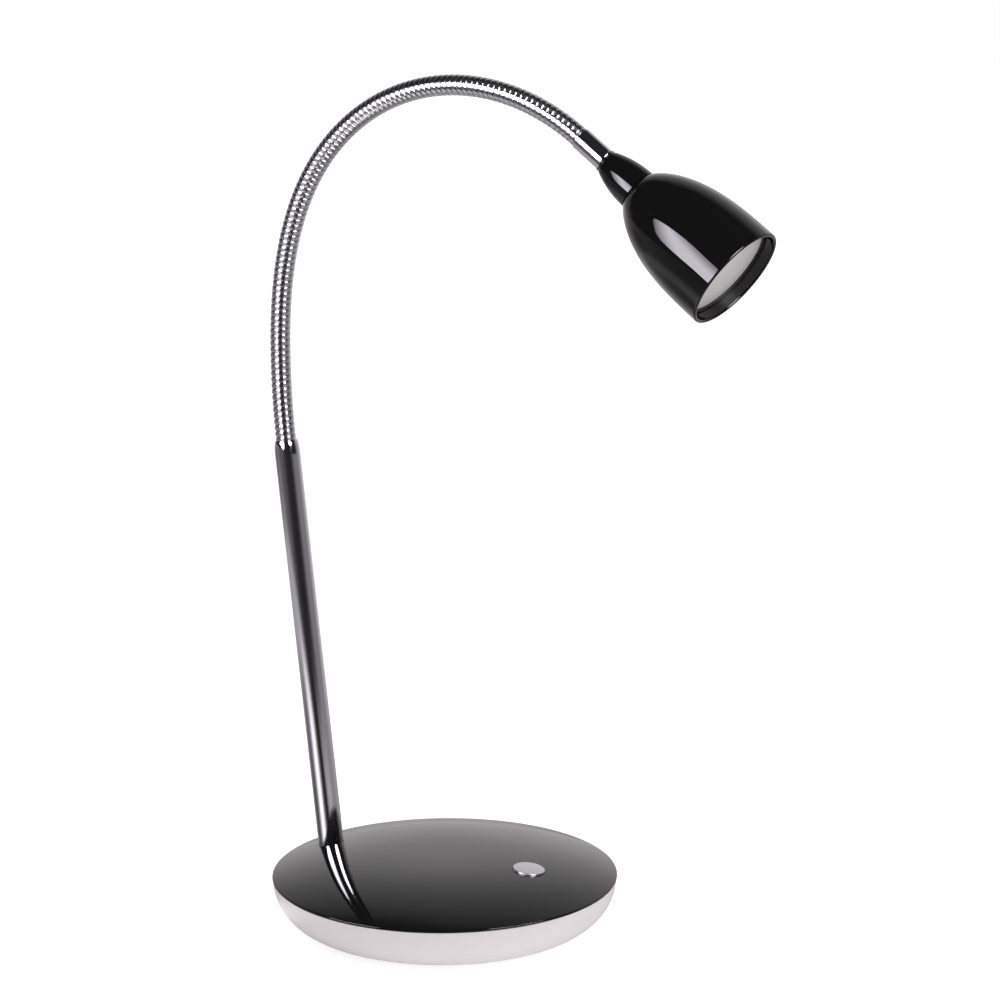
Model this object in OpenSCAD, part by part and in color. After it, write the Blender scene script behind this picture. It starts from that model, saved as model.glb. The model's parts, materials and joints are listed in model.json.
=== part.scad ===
// Gooseneck desk lamp: a weighted round base with a push button, a leaning tube stem,
// a ribbed flexible neck and a small bullet-shaped LED head.
// The origin is the centre of the underside, +Z is up and +X runs from the stem to the button.

/* [Base] */
// Diameter of the base over the cover's edge
base_d = 135; // [120:1:150]
// Height of the middle of the cover's edge above the table
rim_h = 19.5; // [18:0.5:24]
// Height of the cover's dome above its edge
dome_h = 8.85; // [6:0.05:11]
// How flat the middle of the dome is: 2 is a plain bowl shape, more is flatter
dome_power = 2.7; // [2.2:0.1:3.2]
// Wall of the top cover
cover_t = 2.2; // [1.6:0.1:2.6]
// Radius of the cover's rounded edge
edge_r = 0.5; // [0.3:0.1:0.8]
// How far the lower dish stands back from the cover's edge
dish_setback = 0.3; // [0:0.1:1]
// Wall and floor of the lower dish
dish_wall = 2.2; // [1.6:0.1:2.6]
// Radius of the dish's rounded side
bowl_round = 18; // [15:0.5:18.5]
// Height of the cover's skirt inside the dish
skirt_h = 1.2; // [0.8:0.1:1.4]
// Thickness of the cover's skirt
skirt_t = 1.8; // [1.2:0.1:2.4]
// Thickness of the foot pad
pad_t = 1.5; // [1:0.1:2.5]
// How deep the foot pad sits in the dish
pad_sunk = 0.7; // [0.3:0.1:0.9]
// Width of the bare ring around the foot pad
pad_margin = 3.2; // [2:0.1:6]
// Height of the bosses that carry the ballast disc
boss_h = 2.5; // [2:0.1:3.5]
// Thickness of the steel ballast disc
weight_t = 5; // [3:0.5:6]
// Distance of the four base screws from the centre
base_screw_ring = 38; // [36:0.5:42]
// Shank diameter of the base screws
base_screw_d = 3.5; // [3:0.1:4]
// Head diameter of the base screws
base_screw_head_d = 6.4; // [5.5:0.1:7]
// Head height of the base screws
base_screw_head_h = 2.2; // [1.6:0.1:2.4]

/* [Stem] */
// Outer diameter of the stem tube
stem_d = 10; // [9.4:0.1:12]
// Length of the stem above the cover
stem_len = 163.5; // [120:0.5:200]
// How far the stem stands behind the centre of the base
stem_back = 51; // [46:0.5:52]
// How many degrees the stem leans back
stem_lean = 6.2; // [0:0.1:10]
// Length over which the stem's top is drawn in around the neck
stem_swage = 6; // [3:0.5:8]
// Wall of the stem at its drawn-in end
stem_end_wall = 0.3; // [0.2:0.05:0.5]
// Wall of the steel socket around the stem
socket_wall = 2.5; // [2:0.1:3.5]
// Thickness of the socket's foot plate
socket_foot_t = 3; // [2:0.1:4]
// Length of the socket's foot plate, across the base
socket_foot_len = 30; // [28:0.5:31]
// Width of the socket's foot plate
socket_foot_w = 10; // [8:0.5:11]
// Diameter of the set screw
set_screw_d = 4; // [3:0.1:5]

/* [Neck] */
// Outer diameter of the neck over its ribs
neck_d = 8; // [7.6:0.1:8.6]
// Distance from one rib to the next
rib_pitch = 2.4; // [2.2:0.05:3]
// Width of one rib
rib_w = 1.3; // [1.1:0.05:1.4]
// Depth of the valleys between the ribs
rib_depth = 0.7; // [0.4:0.05:0.9]
// Bore of the neck for the lead
neck_bore_d = 3.4; // [3:0.1:3.6]
// Radius of the neck's main bend at rest
bend_r = 87; // [80:1:110]
// Length over which the neck eases into its bend
bend_ramp = 112; // [90:1:140]
// Degrees by which the neck's lowest link leans forward on top of the bend
first_lean = 2.8; // [0:0.1:5]
// Degrees by which the neck's bend is turned about the stem, out of the base's middle plane
arm_turn = 6.7; // [-20:0.1:20]
// Length of the neck's plain ends inside the stem and the ferrule
stub_len = 12; // [8:0.5:12.5]
// Diameter of the two-core lead
lead_d = 2.4; // [2:0.1:2.6]

/* [Head] */
// Length of the chrome ferrule
ferrule_len = 13.6; // [13.2:0.1:18]
// Wall of the ferrule
ferrule_wall = 0.5; // [0.4:0.05:0.8]
// Length of the neck cap
cap_len = 16.5; // [14:0.5:20]
// Radius of the neck cap where it meets the ferrule
cap_small_r = 4.65; // [4.4:0.05:5.2]
// Radius of the neck cap where it meets the shade
cap_big_r = 8.05; // [7.6:0.05:8.6]
// Wall of the neck cap
cap_wall = 1.5; // [1.2:0.1:1.8]
// Length of the shade
shade_len = 50.3; // [48:0.5:60]
// Outer radius of the shade's flat top
shade_top_r = 7.5; // [7.2:0.1:7.8]
// Outer radius of the shade's rim
shade_r = 21; // [20.5:0.1:25]
// Wall of the shade below the lens seat
shade_wall = 2.4; // [2:0.1:2.8]
// Thickness of the shade's flat top
shade_top_t = 2; // [1.6:0.1:2.8]
// Depth of the lens below the rim
lens_depth = 5.5; // [4.5:0.1:7]
// Thickness of the lens
lens_t = 1.6; // [1.2:0.1:2]
// Width of the rim around the lens
lip_w = 1.5; // [1.2:0.1:1.8]
// Thickness of the snap ring that keeps the lens in
snap_t = 1; // [0.8:0.1:1.4]
// Outer diameter of the threaded nipple
nipple_d = 6; // [5.4:0.1:6.2]
// Width of the flange nut over its flats
nut_af = 10; // [9:0.5:10]
// Height of the flange nut
nut_h = 4.5; // [3.5:0.5:6]
// Thickness of the LED board
led_board_t = 1.5; // [1:0.1:1.6]
// Thickness of the heat sink's plate
sink_plate_t = 3; // [2:0.5:4]
// Height of the heat sink's fins
fin_h = 15.5; // [10:0.5:17]
// Number of fins
fin_count = 12; // [6, 9, 12]
// Number of LED chips
chip_count = 6; // [3:1:8]

/* [Button] */
// Diameter of the button
button_d = 12.5; // [11:0.1:14]
// Distance of the button in front of the centre of the base
button_fwd = 37; // [35:0.5:38]
// How far the button stands out of the cover
button_proud = 0.7; // [0.5:0.1:2]
// How far the button travels
button_travel = 1; // [0.5:0.1:1.2]

/* [Electrics] */
// Length of the driver board
driver_len = 52; // [48:0.5:54]
// Width of the driver board
driver_w = 36; // [34:0.5:38]
// Thickness of the circuit boards
board_t = 1.6; // [1.2:0.1:1.6]
// Diameter of the mains cord that the gland takes
cord_d = 5.6; // [4:0.1:5.6]
// Gap between the cord and the gland
cord_gap = 0.1; // [0.1:0.05:0.2]
// Direction of the gland seen from above, in degrees from the front
gland_side = 145; // [140:1:150]

/* [Hidden] */
fit_gap = 0.05;      // around pieces that are pushed or screwed together
loose_gap = 0.15;    // around pieces that only pass through
slide_gap = 0.2;     // around the button
ball_gap = 0.05;     // between the balls and sockets inside the neck
over = 1;            // how far a cut runs past the face that it opens
$fn = 96;

// Base heights, from the table up
base_r = base_d / 2;
dish_r = base_r - dish_setback;
dish_z = pad_t - pad_sunk;
floor_z = dish_z + dish_wall;
bowl_z = dish_z + bowl_round;
dish_top = rim_h - edge_r;
weight_z = floor_z + boss_h;
deck_z = weight_z + weight_t;
pad_r = dish_r - bowl_round - pad_margin;
dish_in_r = dish_r - dish_wall;

// Radius of the dish's inner wall at a height on its rounded side
function dish_inner(z) =
    dish_r - bowl_round + sqrt(pow(bowl_round - dish_wall, 2) - pow(max(0, bowl_z - z), 2));

// How far the dish's rounded inner wall bends inwards at a distance r from a point on it
function dish_inner_sag(r) =
    bowl_round - dish_wall - sqrt(pow(bowl_round - dish_wall, 2) - pow(r, 2));
weight_gap = 0.7;
weight_r = dish_inner(weight_z) - weight_gap;

// The dome's height and slope at a distance r from the centre
dome_z = rim_h + 0.7 * edge_r;
function dome(r) = dome_z + dome_h * (1 - pow(r / base_r, dome_power));
function dome_slope(r) = atan(dome_h * dome_power * pow(r / base_r, dome_power - 1) / base_r);
dome_steps = 28;
skirt_r = dish_in_r - loose_gap;
skirt_z = dish_top - skirt_h;

// Screws of the base, in from below
base_screw_r = base_screw_d / 2;
base_screw_head_r = base_screw_head_d / 2;
base_screw_seat = dish_z + pad_sunk + base_screw_head_h;
base_boss_r = base_screw_head_r + 2;
base_post_r = base_screw_r + 2.4;
base_screw_len = 16;
base_screw_count = 4;
base_screw_turn = 45;

// Stem
stem_r = stem_d / 2;
stub_r = neck_d / 2 - 0.2;         // the neck's plain ends are turned down a little
stem_bore_r = stub_r + fit_gap;
stem_end_r = stem_bore_r + stem_end_wall;
// The stem's outer radius at a distance z below its top
function stem_outer(z) =
    stem_end_r + (stem_r - stem_end_r) * sqrt(1 - pow(1 - min(1, z / stem_swage), 2));
swage_steps = 10;
stem_foot_z = dome(stem_back);
stem_end_gap = 2.5;                 // room under the stem for the lead to turn
stem_in = (stem_foot_z - deck_z - stem_end_gap) / cos(stem_lean);
socket_x = -stem_back + (stem_foot_z - deck_z) * tan(stem_lean);
socket_r = stem_r + fit_gap + socket_wall;
socket_top = stem_foot_z - cover_t - 2;
socket_screw_y = socket_foot_len / 2 - 3.5;
set_screw_r = set_screw_d / 2;
set_screw_z = (deck_z + stem_end_gap + socket_top) / 2 + 0.5;
set_screw_x = -stem_back + (stem_foot_z - set_screw_z) * tan(stem_lean);

// Neck: equal links, whose heading eases in over bend_ramp and then turns with bend_r
link_count = 13;
ribs_per_link = 8;
link_len = ribs_per_link * rib_pitch;
neck_r = neck_d / 2;
core_r = neck_r - rib_depth;
ball_r = core_r - 0.4;
neck_bore_r = neck_bore_d / 2;
stub_bore_r = neck_bore_r + 0.1;
stub_blend = 0.3;                   // how far a plain end runs in under the ribs
lead_r = lead_d / 2;
link_gap = (rib_pitch - rib_w) / 2;
lead_past = 2.2;                    // how far a piece of lead reaches into the next ball
lead_start = ball_r + 0.2;          // where the next piece of lead starts
function eased(s) = s < bend_ramp ? s * s / (2 * bend_ramp) : s - bend_ramp / 2;
function heading(i) = i == 0 ? 0 : first_lean + eased(i * link_len) / bend_r * 180 / PI;
function link_r(i) = link_len / ((heading(i + 1) - heading(i)) * PI / 180);
function joint_at(i) = i == 0 ? [0, 0, 0]
    : let (a = heading(i - 1), b = heading(i), r = link_r(i - 1), p = joint_at(i - 1))
        p + r * [cos(a) - cos(b), 0, sin(b) - sin(a)];

// The shade's outer radius at a distance z below its top: a bullet shape
bullet_length_power = 2.909;
bullet_round_power = 1.286;
function shade_outer(z) =
    shade_top_r + (shade_r - shade_top_r)
    * pow(1 - pow(1 - min(1, z / shade_len), bullet_length_power), 1 / bullet_round_power);
shade_steps = 22;
shade_step_power = 1.6;
// The neck cap's outer radius at a distance z from its small end
cap_power = 2.13;
function cap_outer(z) = cap_small_r + (cap_big_r - cap_small_r) * (1 - pow(1 - z / cap_len, cap_power));
cap_steps = 10;

// Head, measured along its axis from the end of the neck
ferrule_bore_r = stub_r + fit_gap;
ferrule_r = ferrule_bore_r + ferrule_wall;
bead_r = 0.6;
nipple_r = nipple_d / 2;
nipple_bore_r = lead_r + 0.4;
collar_z = stub_len + fit_gap;
cap_z = ferrule_len;
shade_z = cap_z + cap_len;
rim_z = shade_z + shade_len;
nut_z = shade_z + shade_top_t;
nut_flange_r = nut_af / 2 + 1;
nut_flange_t = 1;
nipple_end = nut_z + nut_h + 1.5;
lens_front = rim_z - lens_depth;
lens_seat = lens_front - lens_t;
lens_bore_r = shade_r - lip_w;
lens_r = lens_bore_r - fit_gap * 2;
chip_h = 0.8;
led_front = lens_seat - chip_h - 0.5;
sink_front = led_front - led_board_t;
sink_back = sink_front - sink_plate_t;
sink_r = shade_outer(sink_back - shade_z) - shade_wall - 0.4;
led_board_r = sink_r - 0.8;
led_screw_r = 1.25;
led_screw_head_r = 2.3;
led_screw_head_h = 1;
led_screw_len = 9;
led_boss_r = led_screw_r + 1.35;
led_screw_ring = sink_r - led_boss_r - 1.4;
led_screw_count = 3;
led_boss_z = shade_z + 18;
fin_t = 1.2;
fin_core_r = 6;
fin_r = led_screw_ring + 1.5;
led_ring_r = 9;
chip_w = 3;

// Button and switch, measured up from the dome along the button's own axis
button_r = button_d / 2;
button_z = dome(button_fwd);
button_tilt = dome_slope(button_fwd);
guide_t = 1;                         // collar below the cover that the button's flange stops at
guide_r = button_r + 2.4;
flange_top = -cover_t - guide_t - fit_gap;
flange_t = 1;
flange_r = button_r + 1.1;
spring_len = button_travel + 3;
switch_top = flange_top - flange_t - spring_len;
switch_w = 10;
switch_h = 4.5;
plunger_r = 1.7;
plunger_in = 1;
switch_board_z = switch_top - switch_h;
switch_board_w = 12;
switch_post_y = button_r + 4.75;
switch_board_len = 2 * (switch_post_y + 3);
spring_r = 2.9;
spring_wire_r = 0.3;
spring_turns = 4;
switch_wire_r = 0.6;
switch_wire_y = 3;

// Driver board, hung from posts of the cover
driver_x = -8;
driver_z = deck_z + 3.5;
driver_top = driver_z + board_t;
driver_post_x = driver_len / 2 - 4;
driver_post_y = driver_w / 2 - 4;
post_r = 2.6;

// Small screws, all alike
small_screw_r = 1.5;
small_screw_head_r = 2.6;
small_screw_head_h = 1.6;
small_screw_len = 6;

// Cord gland in the dish's rear wall
gland_bore_r = cord_d / 2 + cord_gap;
gland_r = gland_bore_r + 1.2;
gland_z = deck_z + 2;
gland_tilt = asin((bowl_z - gland_z) / bowl_round);
gland_flange_r = gland_r + 1.4;
gland_seat = 0.9;                    // how far the outer flange is let into the wall
gland_out = 2.5;
gland_in = dish_wall + 1.8;
gland_back_r = gland_r + 1;          // the flange inside the dish, which clears the curved wall
gland_back_z = dish_wall + dish_inner_sag(gland_back_r) + fit_gap;
clamp_at = 47;
clamp_w = 7;
clamp_len = 20;
clamp_screw_y = 7;
clamp_h = cord_d / 2 + 2.4;

// ---- Places ----

// Stem frame: origin where the stem's axis meets the dome, +Z along the stem
module on_stem() {
    translate([-stem_back, 0, stem_foot_z]) rotate([0, -stem_lean, 0]) children();
}

// Arm frame: origin at the stem's top, the neck bends towards +X
module on_arm() {
    on_stem() translate([0, 0, stem_len]) rotate([0, 0, -arm_turn]) children();
}

// Frame at the start of link i, +Z along the neck
module on_link(i) {
    on_arm() translate(joint_at(i)) rotate([0, heading(i), 0]) children();
}

// Head frame: origin at the end of the neck, +Z towards the light
module on_head() {
    on_link(link_count) children();
}

// Button frame: origin on the dome, +Z out of it
module on_button() {
    translate([button_fwd, 0, button_z]) rotate([0, button_tilt, 0]) children();
}

// Gland frame: origin on the dish's outer wall, +Z out of it
module on_gland() {
    rotate([0, 0, gland_side])
        translate([dish_r - bowl_round, 0, bowl_z])
            rotate([0, 90 + gland_tilt, 0]) translate([0, 0, bowl_round]) children();
}

module on_base_screws() {
    for (i = [0 : base_screw_count - 1])
        rotate([0, 0, base_screw_turn + i * 360 / base_screw_count])
            translate([base_screw_ring, 0, 0]) children();
}

module on_driver_posts() {
    for (x = [-1, 1], y = [-1, 1])
        translate([driver_x + x * driver_post_x, y * driver_post_y, 0]) children();
}

module on_switch_posts() {
    on_button() for (y = [-1, 1]) translate([0, y * switch_post_y, 0]) children();
}

module on_clamp() {
    rotate([0, 0, gland_side]) translate([clamp_at, 0, deck_z]) children();
}

module on_led_screws() {
    for (i = [0 : led_screw_count - 1])
        rotate([0, 0, i * 360 / led_screw_count]) translate([led_screw_ring, 0, 0]) children();
}

// ---- Shared shapes ----

// A pan-head screw: its head's seat is at z = 0, the shank points down
module screw(r, len, head_r, head_h) {
    difference() {
        union() {
            translate([0, 0, -len]) cylinder(r = r, h = len);
            cylinder(r = head_r, h = head_h);
        }
        for (a = [0, 90])
            rotate([0, 0, a])
                translate([-head_r * 0.6, -head_r * 0.13, head_h * 0.4])
                    cube([head_r * 1.2, head_r * 0.26, head_h]);
    }
}

module small_screw() {
    screw(small_screw_r, small_screw_len, small_screw_head_r, small_screw_head_h);
}

module tube(r, bore, len) {
    difference() {
        cylinder(r = r, h = len);
        translate([0, 0, -over]) cylinder(r = bore, h = len + 2 * over);
    }
}

// A wire through a list of points, with a round knuckle at each corner
module wire(points, r) {
    for (i = [0 : len(points) - 2]) {
        d = points[i + 1] - points[i];
        translate(points[i])
            rotate([0, acos(d[2] / norm(d)), atan2(d[1], d[0])]) cylinder(r = r, h = norm(d), $fn = 32);
        if (i > 0) translate(points[i]) knuckle(r);
    }
}

// A ball just thicker than a wire, where two stretches of it meet
module knuckle(r) {
    sphere(r = r + 0.04, $fn = 32);
}

// A round bar along a link's arc of radius bend, from arc length a to b
module arc_bar(bend, a, b, r) {
    deg = 180 / (PI * bend);
    translate([bend, 0, 0]) rotate([90, 0, 180]) rotate([0, 0, a * deg])
        rotate_extrude(angle = (b - a) * deg) translate([bend, 0]) circle(r = r, $fn = 48);
}

// A place at arc length s on a link's arc
module at_arc(bend, s) {
    translate([bend, 0, 0]) rotate([0, s * 180 / (PI * bend), 0]) translate([-bend, 0, 0]) children();
}

// ---- Base ----

// Outline of the dish, inset by a wall, from its axis out
module bowl_outline(inset) {
    top = inset > 0 ? dish_top + over : dish_top;
    intersection() {
        union() {
            translate([dish_r - bowl_round, bowl_z]) circle(r = bowl_round - inset);
            translate([0, dish_z + inset]) square([dish_r - bowl_round, top]);
            translate([0, bowl_z]) square([dish_r - inset, top]);
        }
        square([base_r, top]);
    }
}

module foot_pad() {
    color([0.12, 0.12, 0.13]) cylinder(r = pad_r, h = pad_t);
}

module lower_dish() {
    color([0.84, 0.80, 0.81]) difference() {
        union() {
            difference() {
                rotate_extrude() bowl_outline(0);
                rotate_extrude() bowl_outline(dish_wall);
            }
            on_base_screws() translate([0, 0, floor_z - over])
                cylinder(r = base_boss_r, h = boss_h + over);
        }
        translate([0, 0, dish_z - over]) cylinder(r = pad_r + loose_gap, h = pad_sunk + over);
        on_base_screws() {
            translate([0, 0, dish_z]) cylinder(r = base_screw_head_r + loose_gap, h = base_screw_seat - dish_z);
            cylinder(r = base_screw_r + loose_gap, h = rim_h);
        }
        on_gland() {
            translate([0, 0, -gland_in]) cylinder(r = gland_r + fit_gap, h = gland_in + over);
            translate([0, 0, -gland_seat]) cylinder(r = gland_flange_r + fit_gap, h = gland_out);
        }
    }
}

// Outline of the cover: dome, rounded edge, underside and skirt
module cover_outline() {
    edge_x = base_r - edge_r * (1 - sin(dome_slope(base_r)));
    union() {
        difference() {
            polygon(concat(
                [for (i = [0 : dome_steps]) let (r = edge_x * i / dome_steps) [r, dome(r)]],
                [[base_r - edge_r, dish_top], [0, dish_top]]
            ));
            polygon(concat(
                [for (i = [0 : dome_steps]) let (r = (skirt_r - skirt_t) * i / dome_steps)
                    [r, dome(r) - cover_t]],
                [[skirt_r - skirt_t, dish_top - over], [0, dish_top - over]]
            ));
        }
        translate([base_r - edge_r, rim_h]) circle(r = edge_r);
        translate([skirt_r - skirt_t, skirt_z]) square([skirt_t, rim_h - skirt_z]);
    }
}

// A post that hangs from the cover down to height z
module cover_post(r, z) {
    translate([0, 0, z]) cylinder(r = r, h = rim_h + dome_h - z);
}

// The gap in the cover's skirt that the gland stands in
module gland_notch() {
    notch_w = 2 * (gland_back_r + slide_gap);
    rotate([0, 0, gland_side]) translate([skirt_r - skirt_t - over, -notch_w / 2, skirt_z - over])
        cube([skirt_t + over + loose_gap / 2, notch_w, skirt_h + over]);
}

module top_cover() {
    color([0.05, 0.05, 0.06]) difference() {
        union() {
            rotate_extrude() cover_outline();
            intersection() {
                rotate_extrude() polygon(concat(
                    [for (i = [0 : dome_steps]) let (r = (base_r - edge_r) * i / dome_steps)
                        [r, dome(r) - cover_t / 2]],
                    [[base_r - edge_r, 0], [0, 0]]
                ));
                union() {
                    on_base_screws() cover_post(base_post_r, deck_z);
                    on_driver_posts() cover_post(post_r, driver_top);
                    on_switch_posts() translate([0, 0, switch_board_z])
                        cylinder(r = post_r, h = -switch_board_z);
                    on_button() translate([0, 0, -cover_t - guide_t])
                        cylinder(r = guide_r, h = cover_t + guide_t);
                }
            }
        }
        on_stem() translate([0, 0, -stem_in]) cylinder(r = stem_r + loose_gap, h = stem_in + rim_h);
        gland_notch();
        on_button() translate([0, 0, -cover_t - guide_t - over])
            cylinder(r = button_r + slide_gap, h = cover_t + guide_t + 2 * over);
        on_base_screws() translate([0, 0, deck_z - over])
            cylinder(r = base_screw_r + fit_gap, h = base_screw_seat + base_screw_len + 0.5 - deck_z + over);
        on_driver_posts() translate([0, 0, driver_top - over])
            cylinder(r = small_screw_r + fit_gap, h = small_screw_len + over);
        on_switch_posts() translate([0, 0, switch_board_z - over])
            cylinder(r = small_screw_r + fit_gap, h = small_screw_len + over);
    }
}

module base_screws() {
    color([0.7, 0.7, 0.72]) on_base_screws() translate([0, 0, base_screw_seat]) mirror([0, 0, 1])
        screw(base_screw_r, base_screw_len, base_screw_head_r, base_screw_head_h);
}

module weight_disc() {
    color([0.45, 0.46, 0.48]) difference() {
        translate([0, 0, weight_z]) cylinder(r = weight_r, h = weight_t);
        on_base_screws() cylinder(r = base_screw_r + loose_gap * 2, h = rim_h);
        for (y = [-1, 1]) translate([socket_x, y * socket_screw_y, weight_z - over])
            cylinder(r = small_screw_r + fit_gap, h = weight_t + 2 * over);
        on_clamp() for (y = [-1, 1]) translate([0, y * clamp_screw_y, -weight_t - over])
            cylinder(r = small_screw_r + fit_gap, h = weight_t + 2 * over);
    }
}

module stem_socket() {
    color([0.6, 0.6, 0.62]) difference() {
        union() {
            translate([socket_x, 0, deck_z]) cylinder(r = socket_r, h = socket_top - deck_z);
            translate([socket_x - socket_foot_w / 2, -socket_foot_len / 2, deck_z])
                cube([socket_foot_w, socket_foot_len, socket_foot_t]);
        }
        on_stem() translate([0, 0, -stem_in]) cylinder(r = stem_r + fit_gap, h = stem_in + rim_h);
        translate([socket_x, 0, deck_z - over])
            cylinder(r = lead_r + 0.6, h = stem_end_gap + 2 * over);
        translate([socket_x, -lead_r - 0.5, deck_z - over])
            cube([socket_r + over, 2 * lead_r + 1, lead_d + 0.6 + over]);
        translate([set_screw_x, 0, set_screw_z]) rotate([-90, 0, 0])
            cylinder(r = set_screw_r + fit_gap, h = socket_r + over);
        for (y = [-1, 1]) translate([socket_x, y * socket_screw_y, deck_z - over])
            cylinder(r = small_screw_r + loose_gap, h = socket_foot_t + 2 * over);
    }
}

module set_screw() {
    color([0.25, 0.25, 0.27]) translate([set_screw_x, stem_r + fit_gap, set_screw_z]) rotate([-90, 0, 0])
        difference() {
            cylinder(r = set_screw_r, h = socket_wall + 0.5);
            translate([0, 0, socket_wall - 1]) cylinder(r = set_screw_r * 0.55, h = 2, $fn = 6);
        }
}

module cord_gland() {
    color([0.1, 0.1, 0.1]) on_gland() difference() {
        union() {
            translate([0, 0, -gland_in]) cylinder(r = gland_r, h = gland_in + gland_out);
            translate([0, 0, -gland_seat]) cylinder(r = gland_flange_r, h = gland_seat + 1);
            translate([0, 0, -gland_in]) cylinder(r = gland_back_r, h = gland_in - gland_back_z);
        }
        translate([0, 0, -gland_in - over]) cylinder(r = gland_bore_r, h = gland_in + gland_out + 2 * over);
    }
}

module cord_clamp() {
    color([0.75, 0.75, 0.72]) on_clamp() difference() {
        translate([-clamp_w / 2, -clamp_len / 2, 0]) cube([clamp_w, clamp_len, clamp_h]);
        translate([-clamp_w, 0, cord_d / 2 - 0.4]) rotate([0, 90, 0])
            cylinder(r = cord_d / 2 - 0.2, h = 2 * clamp_w);
        translate([-clamp_w, -cord_d / 2 + 0.2, -over])
            cube([2 * clamp_w, cord_d - 0.4, over + cord_d / 2 - 0.4]);
        for (y = [-1, 1]) translate([0, y * clamp_screw_y, -over]) {
            cylinder(r = small_screw_r + loose_gap, h = clamp_h + 2 * over);
            translate([0, 0, over + 2]) cylinder(r = small_screw_head_r + loose_gap, h = clamp_h);
        }
    }
}

// ---- Electrics in the base ----

module driver_board() {
    color([0.1, 0.35, 0.2]) difference() {
        translate([driver_x - driver_len / 2, -driver_w / 2, driver_z]) cube([driver_len, driver_w, board_t]);
        on_driver_posts() translate([0, 0, driver_z - over])
            cylinder(r = small_screw_r + loose_gap, h = board_t + 2 * over);
    }
}

module driver_transformer() {
    color([0.75, 0.6, 0.15]) translate([driver_x - 12, 0, driver_top]) {
        translate([-7.5, -6.5, 0]) cube([15, 13, 1.2]);
        translate([-5, -4, 1.2]) cube([10, 8, 5]);
        translate([-7.5, -6.5, 6.2]) cube([15, 13, 1.2]);
    }
}

module driver_capacitors() {
    color([0.15, 0.2, 0.5]) {
        translate([driver_x + 3, 7, driver_top + 4]) rotate([0, 90, 0]) cylinder(r = 4, h = 12);
        translate([driver_x + 12, -6, driver_top]) cylinder(r = 3.15, h = 7.4);
    }
}

module driver_chips() {
    color([0.12, 0.12, 0.13]) {
        translate([driver_x - 2, -11, driver_top]) cube([6, 5, 1.6]);
        translate([driver_x + 2, -3.2, driver_top]) cube([5, 4, 1.5]);
        translate([driver_x - 17, 10, driver_top]) cube([4, 2.6, 1.2]);
    }
}

module terminal_block() {
    color([0.2, 0.5, 0.3]) translate([driver_x - 15, -16.5, driver_top]) difference() {
        cube([11, 7, 7]);
        for (x = [3, 8]) translate([x, 3.5, 5]) cylinder(r = 1.5, h = 3);
        for (x = [3, 8]) translate([x, -over, 2.5]) rotate([-90, 0, 0]) cylinder(r = 1.2, h = 4 + over);
    }
}

// The two wires from the underside of the driver board to the underside of the switch board
module switch_wires() {
    low = deck_z + 1.6;
    start_x = driver_x + driver_len / 2 - 2;
    board = on_button_point(-switch_board_w / 2 + 1.5, switch_board_z - board_t);
    bend_x = board[0] - (board[1] - low) * tan(button_tilt);
    color([0.75, 0.15, 0.12]) for (y = [-1, 1] * switch_wire_y) wire([
        [start_x, y, driver_z],
        [start_x, y, low],
        [bend_x, y, low],
        [board[0], y, board[1]]
    ], switch_wire_r);
}

// A point of the button's middle plane, given in the button frame, as [x, z] of the base
function on_button_point(x, z) = [
    button_fwd + x * cos(button_tilt) + z * sin(button_tilt),
    button_z - x * sin(button_tilt) + z * cos(button_tilt)
];

module switch_board() {
    color([0.1, 0.35, 0.2]) difference() {
        on_button() translate([-switch_board_w / 2, -switch_board_len / 2, switch_board_z - board_t])
            cube([switch_board_w, switch_board_len, board_t]);
        on_switch_posts() translate([0, 0, switch_board_z - board_t - over])
            cylinder(r = small_screw_r + loose_gap, h = board_t + 2 * over);
    }
}

module switch_body() {
    color([0.15, 0.15, 0.16]) on_button() difference() {
        translate([-switch_w / 2, -switch_w / 2, switch_board_z]) cube([switch_w, switch_w, switch_h]);
        translate([0, 0, switch_top - plunger_in - button_travel - 0.4])
            cylinder(r = plunger_r + slide_gap, h = switch_h);
    }
}

module switch_plunger() {
    color([0.9, 0.9, 0.88]) on_button() translate([0, 0, switch_top - plunger_in])
        cylinder(r = plunger_r, h = spring_len + plunger_in);
}

// The return spring, swept along its helix
module button_spring() {
    steps = 20 * spring_turns;
    sides = 8;
    low = switch_top + spring_wire_r + 0.03;
    rise = spring_len - 2 * spring_wire_r - 0.06;
    points = [for (i = [0 : steps], k = [0 : sides - 1])
        let (a = 360 * spring_turns * i / steps, t = 360 * k / sides, r = spring_r + spring_wire_r * cos(t))
            [r * cos(a), r * sin(a), low + rise * i / steps + spring_wire_r * sin(t)]];
    sides_of = [for (i = [0 : steps - 1], k = [0 : sides - 1])
        let (a = i * sides + k, b = i * sides + (k + 1) % sides) [a, b, b + sides, a + sides]];
    color([0.8, 0.8, 0.82]) on_button() polyhedron(
        points = points,
        faces = concat(
            [for (f = sides_of) [f[0], f[3], f[2], f[1]]],
            [[for (k = [0 : sides - 1]) k]],
            [[for (k = [sides - 1 : -1 : 0]) steps * sides + k]]
        )
    );
}

module button() {
    bevel = 0.4;
    color([0.78, 0.76, 0.78]) on_button() {
        rotate_extrude() polygon([
            [0, flange_top - flange_t], [flange_r, flange_top - flange_t], [flange_r, flange_top],
            [button_r, flange_top], [button_r, button_proud - bevel], [button_r - bevel, button_proud],
            [0, button_proud]
        ]);
    }
}

module small_screws() {
    color([0.7, 0.7, 0.72]) {
        on_driver_posts() translate([0, 0, driver_z]) mirror([0, 0, 1]) small_screw();
        on_switch_posts() translate([0, 0, switch_board_z - board_t]) mirror([0, 0, 1]) small_screw();
        for (y = [-1, 1]) translate([socket_x, y * socket_screw_y, deck_z + socket_foot_t]) small_screw();
        on_clamp() for (y = [-1, 1]) translate([0, y * clamp_screw_y, 2]) small_screw();
    }
}

// ---- Stem and neck ----

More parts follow.
